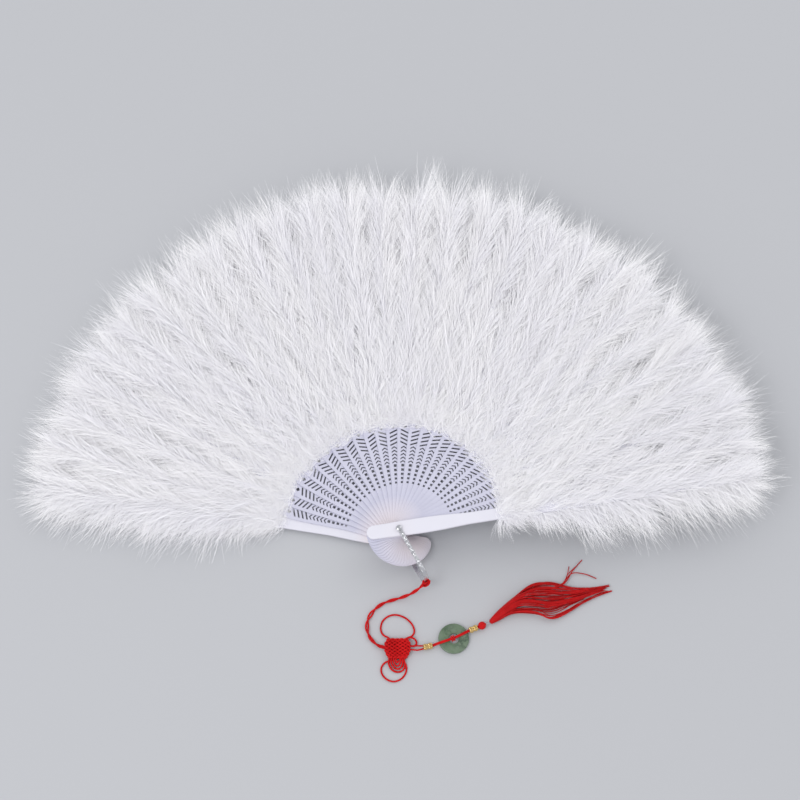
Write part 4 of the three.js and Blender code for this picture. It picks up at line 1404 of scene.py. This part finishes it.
class FAN_OT_stage(bpy.types.Operator):
    """Set the floor, the light and the camera"""

    bl_idname = "fan.stage"
    bl_label = "Stage"

    def execute(self, context):
        scene = context.scene
        stage = scene.fan_stage
        scene.view_settings.view_transform = "Standard"
        target = Vector((0.67 * MM, stage.middle, 0))

        data = bpy.data.cameras.new("camera")
        data.lens = stage.lens
        data.clip_end = 50
        camera = bpy.data.objects.new("camera", data)
        scene.collection.objects.link(camera)
        away = stage.width * stage.lens / data.sensor_width
        back = Vector((0, -math.cos(stage.elevation), math.sin(stage.elevation)))
        aim(camera, target + away * back, target)
        scene.camera = camera

        mesh = bpy.data.meshes.new("floor")
        half = 12
        corners = [(-half, -half, 0), (half, -half, 0), (half, half, 0), (-half, half, 0)]
        mesh.from_pydata(corners, [], [(0, 1, 2, 3)])
        shade = Shade("floor", Roughness=0.9, Specular_IOR_Level=0.1)
        grain = shade.noise(900)
        pale = tuple(stage.floor)
        dark = tuple(0.97 * channel for channel in pale)
        link("floor", mesh, shade.set(Base_Color=shade.mix(grain, dark, pale)))

        world = bpy.data.worlds.new("world")
        world.use_nodes = True
        scene.world = world
        nodes, links = world.node_tree.nodes, world.node_tree.links
        background = nodes["Background"]
        background.inputs["Color"].default_value = (1, 1, 1, 1)
        background.inputs["Strength"].default_value = stage.sky
        shown = nodes.new("ShaderNodeBackground")
        shown.inputs["Color"].default_value = (*pale, 1)
        path = nodes.new("ShaderNodeLightPath")
        seen = path.outputs["Is Camera Ray"]
        for ray in ("Is Glossy Ray", "Is Transmission Ray"):
            either = nodes.new("ShaderNodeMath")
            either.operation = "MAXIMUM"
            links.new(seen, either.inputs[0])
            links.new(path.outputs[ray], either.inputs[1])
            seen = either.outputs[0]
        blend = nodes.new("ShaderNodeMixShader")
        links.new(seen, blend.inputs[0])
        links.new(background.outputs[0], blend.inputs[1])
        links.new(shown.outputs[0], blend.inputs[2])
        links.new(blend.outputs[0], nodes["World Output"].inputs[0])

        lamp("key", (-1.0, -0.8, 1.9), target, stage.key, 1.0)
        lamp("fill", (1.2, 1.0, 1.4), target, stage.fill, 1.4)
        return {"FINISHED"}


class FAN_PT_panel(bpy.types.Panel):
    """The steps that dress the fan"""

    bl_label = "Feather Fan"
    bl_idname = "FAN_PT_panel"
    bl_space_type = "VIEW_3D"
    bl_region_type = "UI"
    bl_category = "Fan"

    def draw(self, context):
        for step in STEPS:
            self.layout.operator(step.bl_idname)
        for name in SETTINGS:
            group = getattr(context.scene, name)
            for key in group.__annotations__:
                self.layout.prop(group, key)


SETTINGS = {
    "fan_stage": FanStage,
    "fan_sticks": FanSticks,
    "fan_down": FanDown,
    "fan_metal": FanMetal,
    "fan_pendant": FanPendant,
}
STEPS = (
    FAN_OT_stage,
    FAN_OT_cords,
    FAN_OT_sticks,
    FAN_OT_down,
    FAN_OT_rivet_and_bail,
    FAN_OT_beads_and_disc,
    FAN_OT_tassel,
)


def register():
    for made in (*SETTINGS.values(), *STEPS, FAN_PT_panel):
        bpy.utils.register_class(made)
    for name, group in SETTINGS.items():
        setattr(bpy.types.Scene, name, PointerProperty(type=group))


def unregister():
    for name in SETTINGS:
        delattr(bpy.types.Scene, name)
    for made in reversed((*SETTINGS.values(), *STEPS, FAN_PT_panel)):
        bpy.utils.unregister_class(made)


def main():
    register()
    for step in STEPS:
        area, name = step.bl_idname.split(".")
        getattr(getattr(bpy.ops, area), name)()


if __name__ == "__main__":
    main()
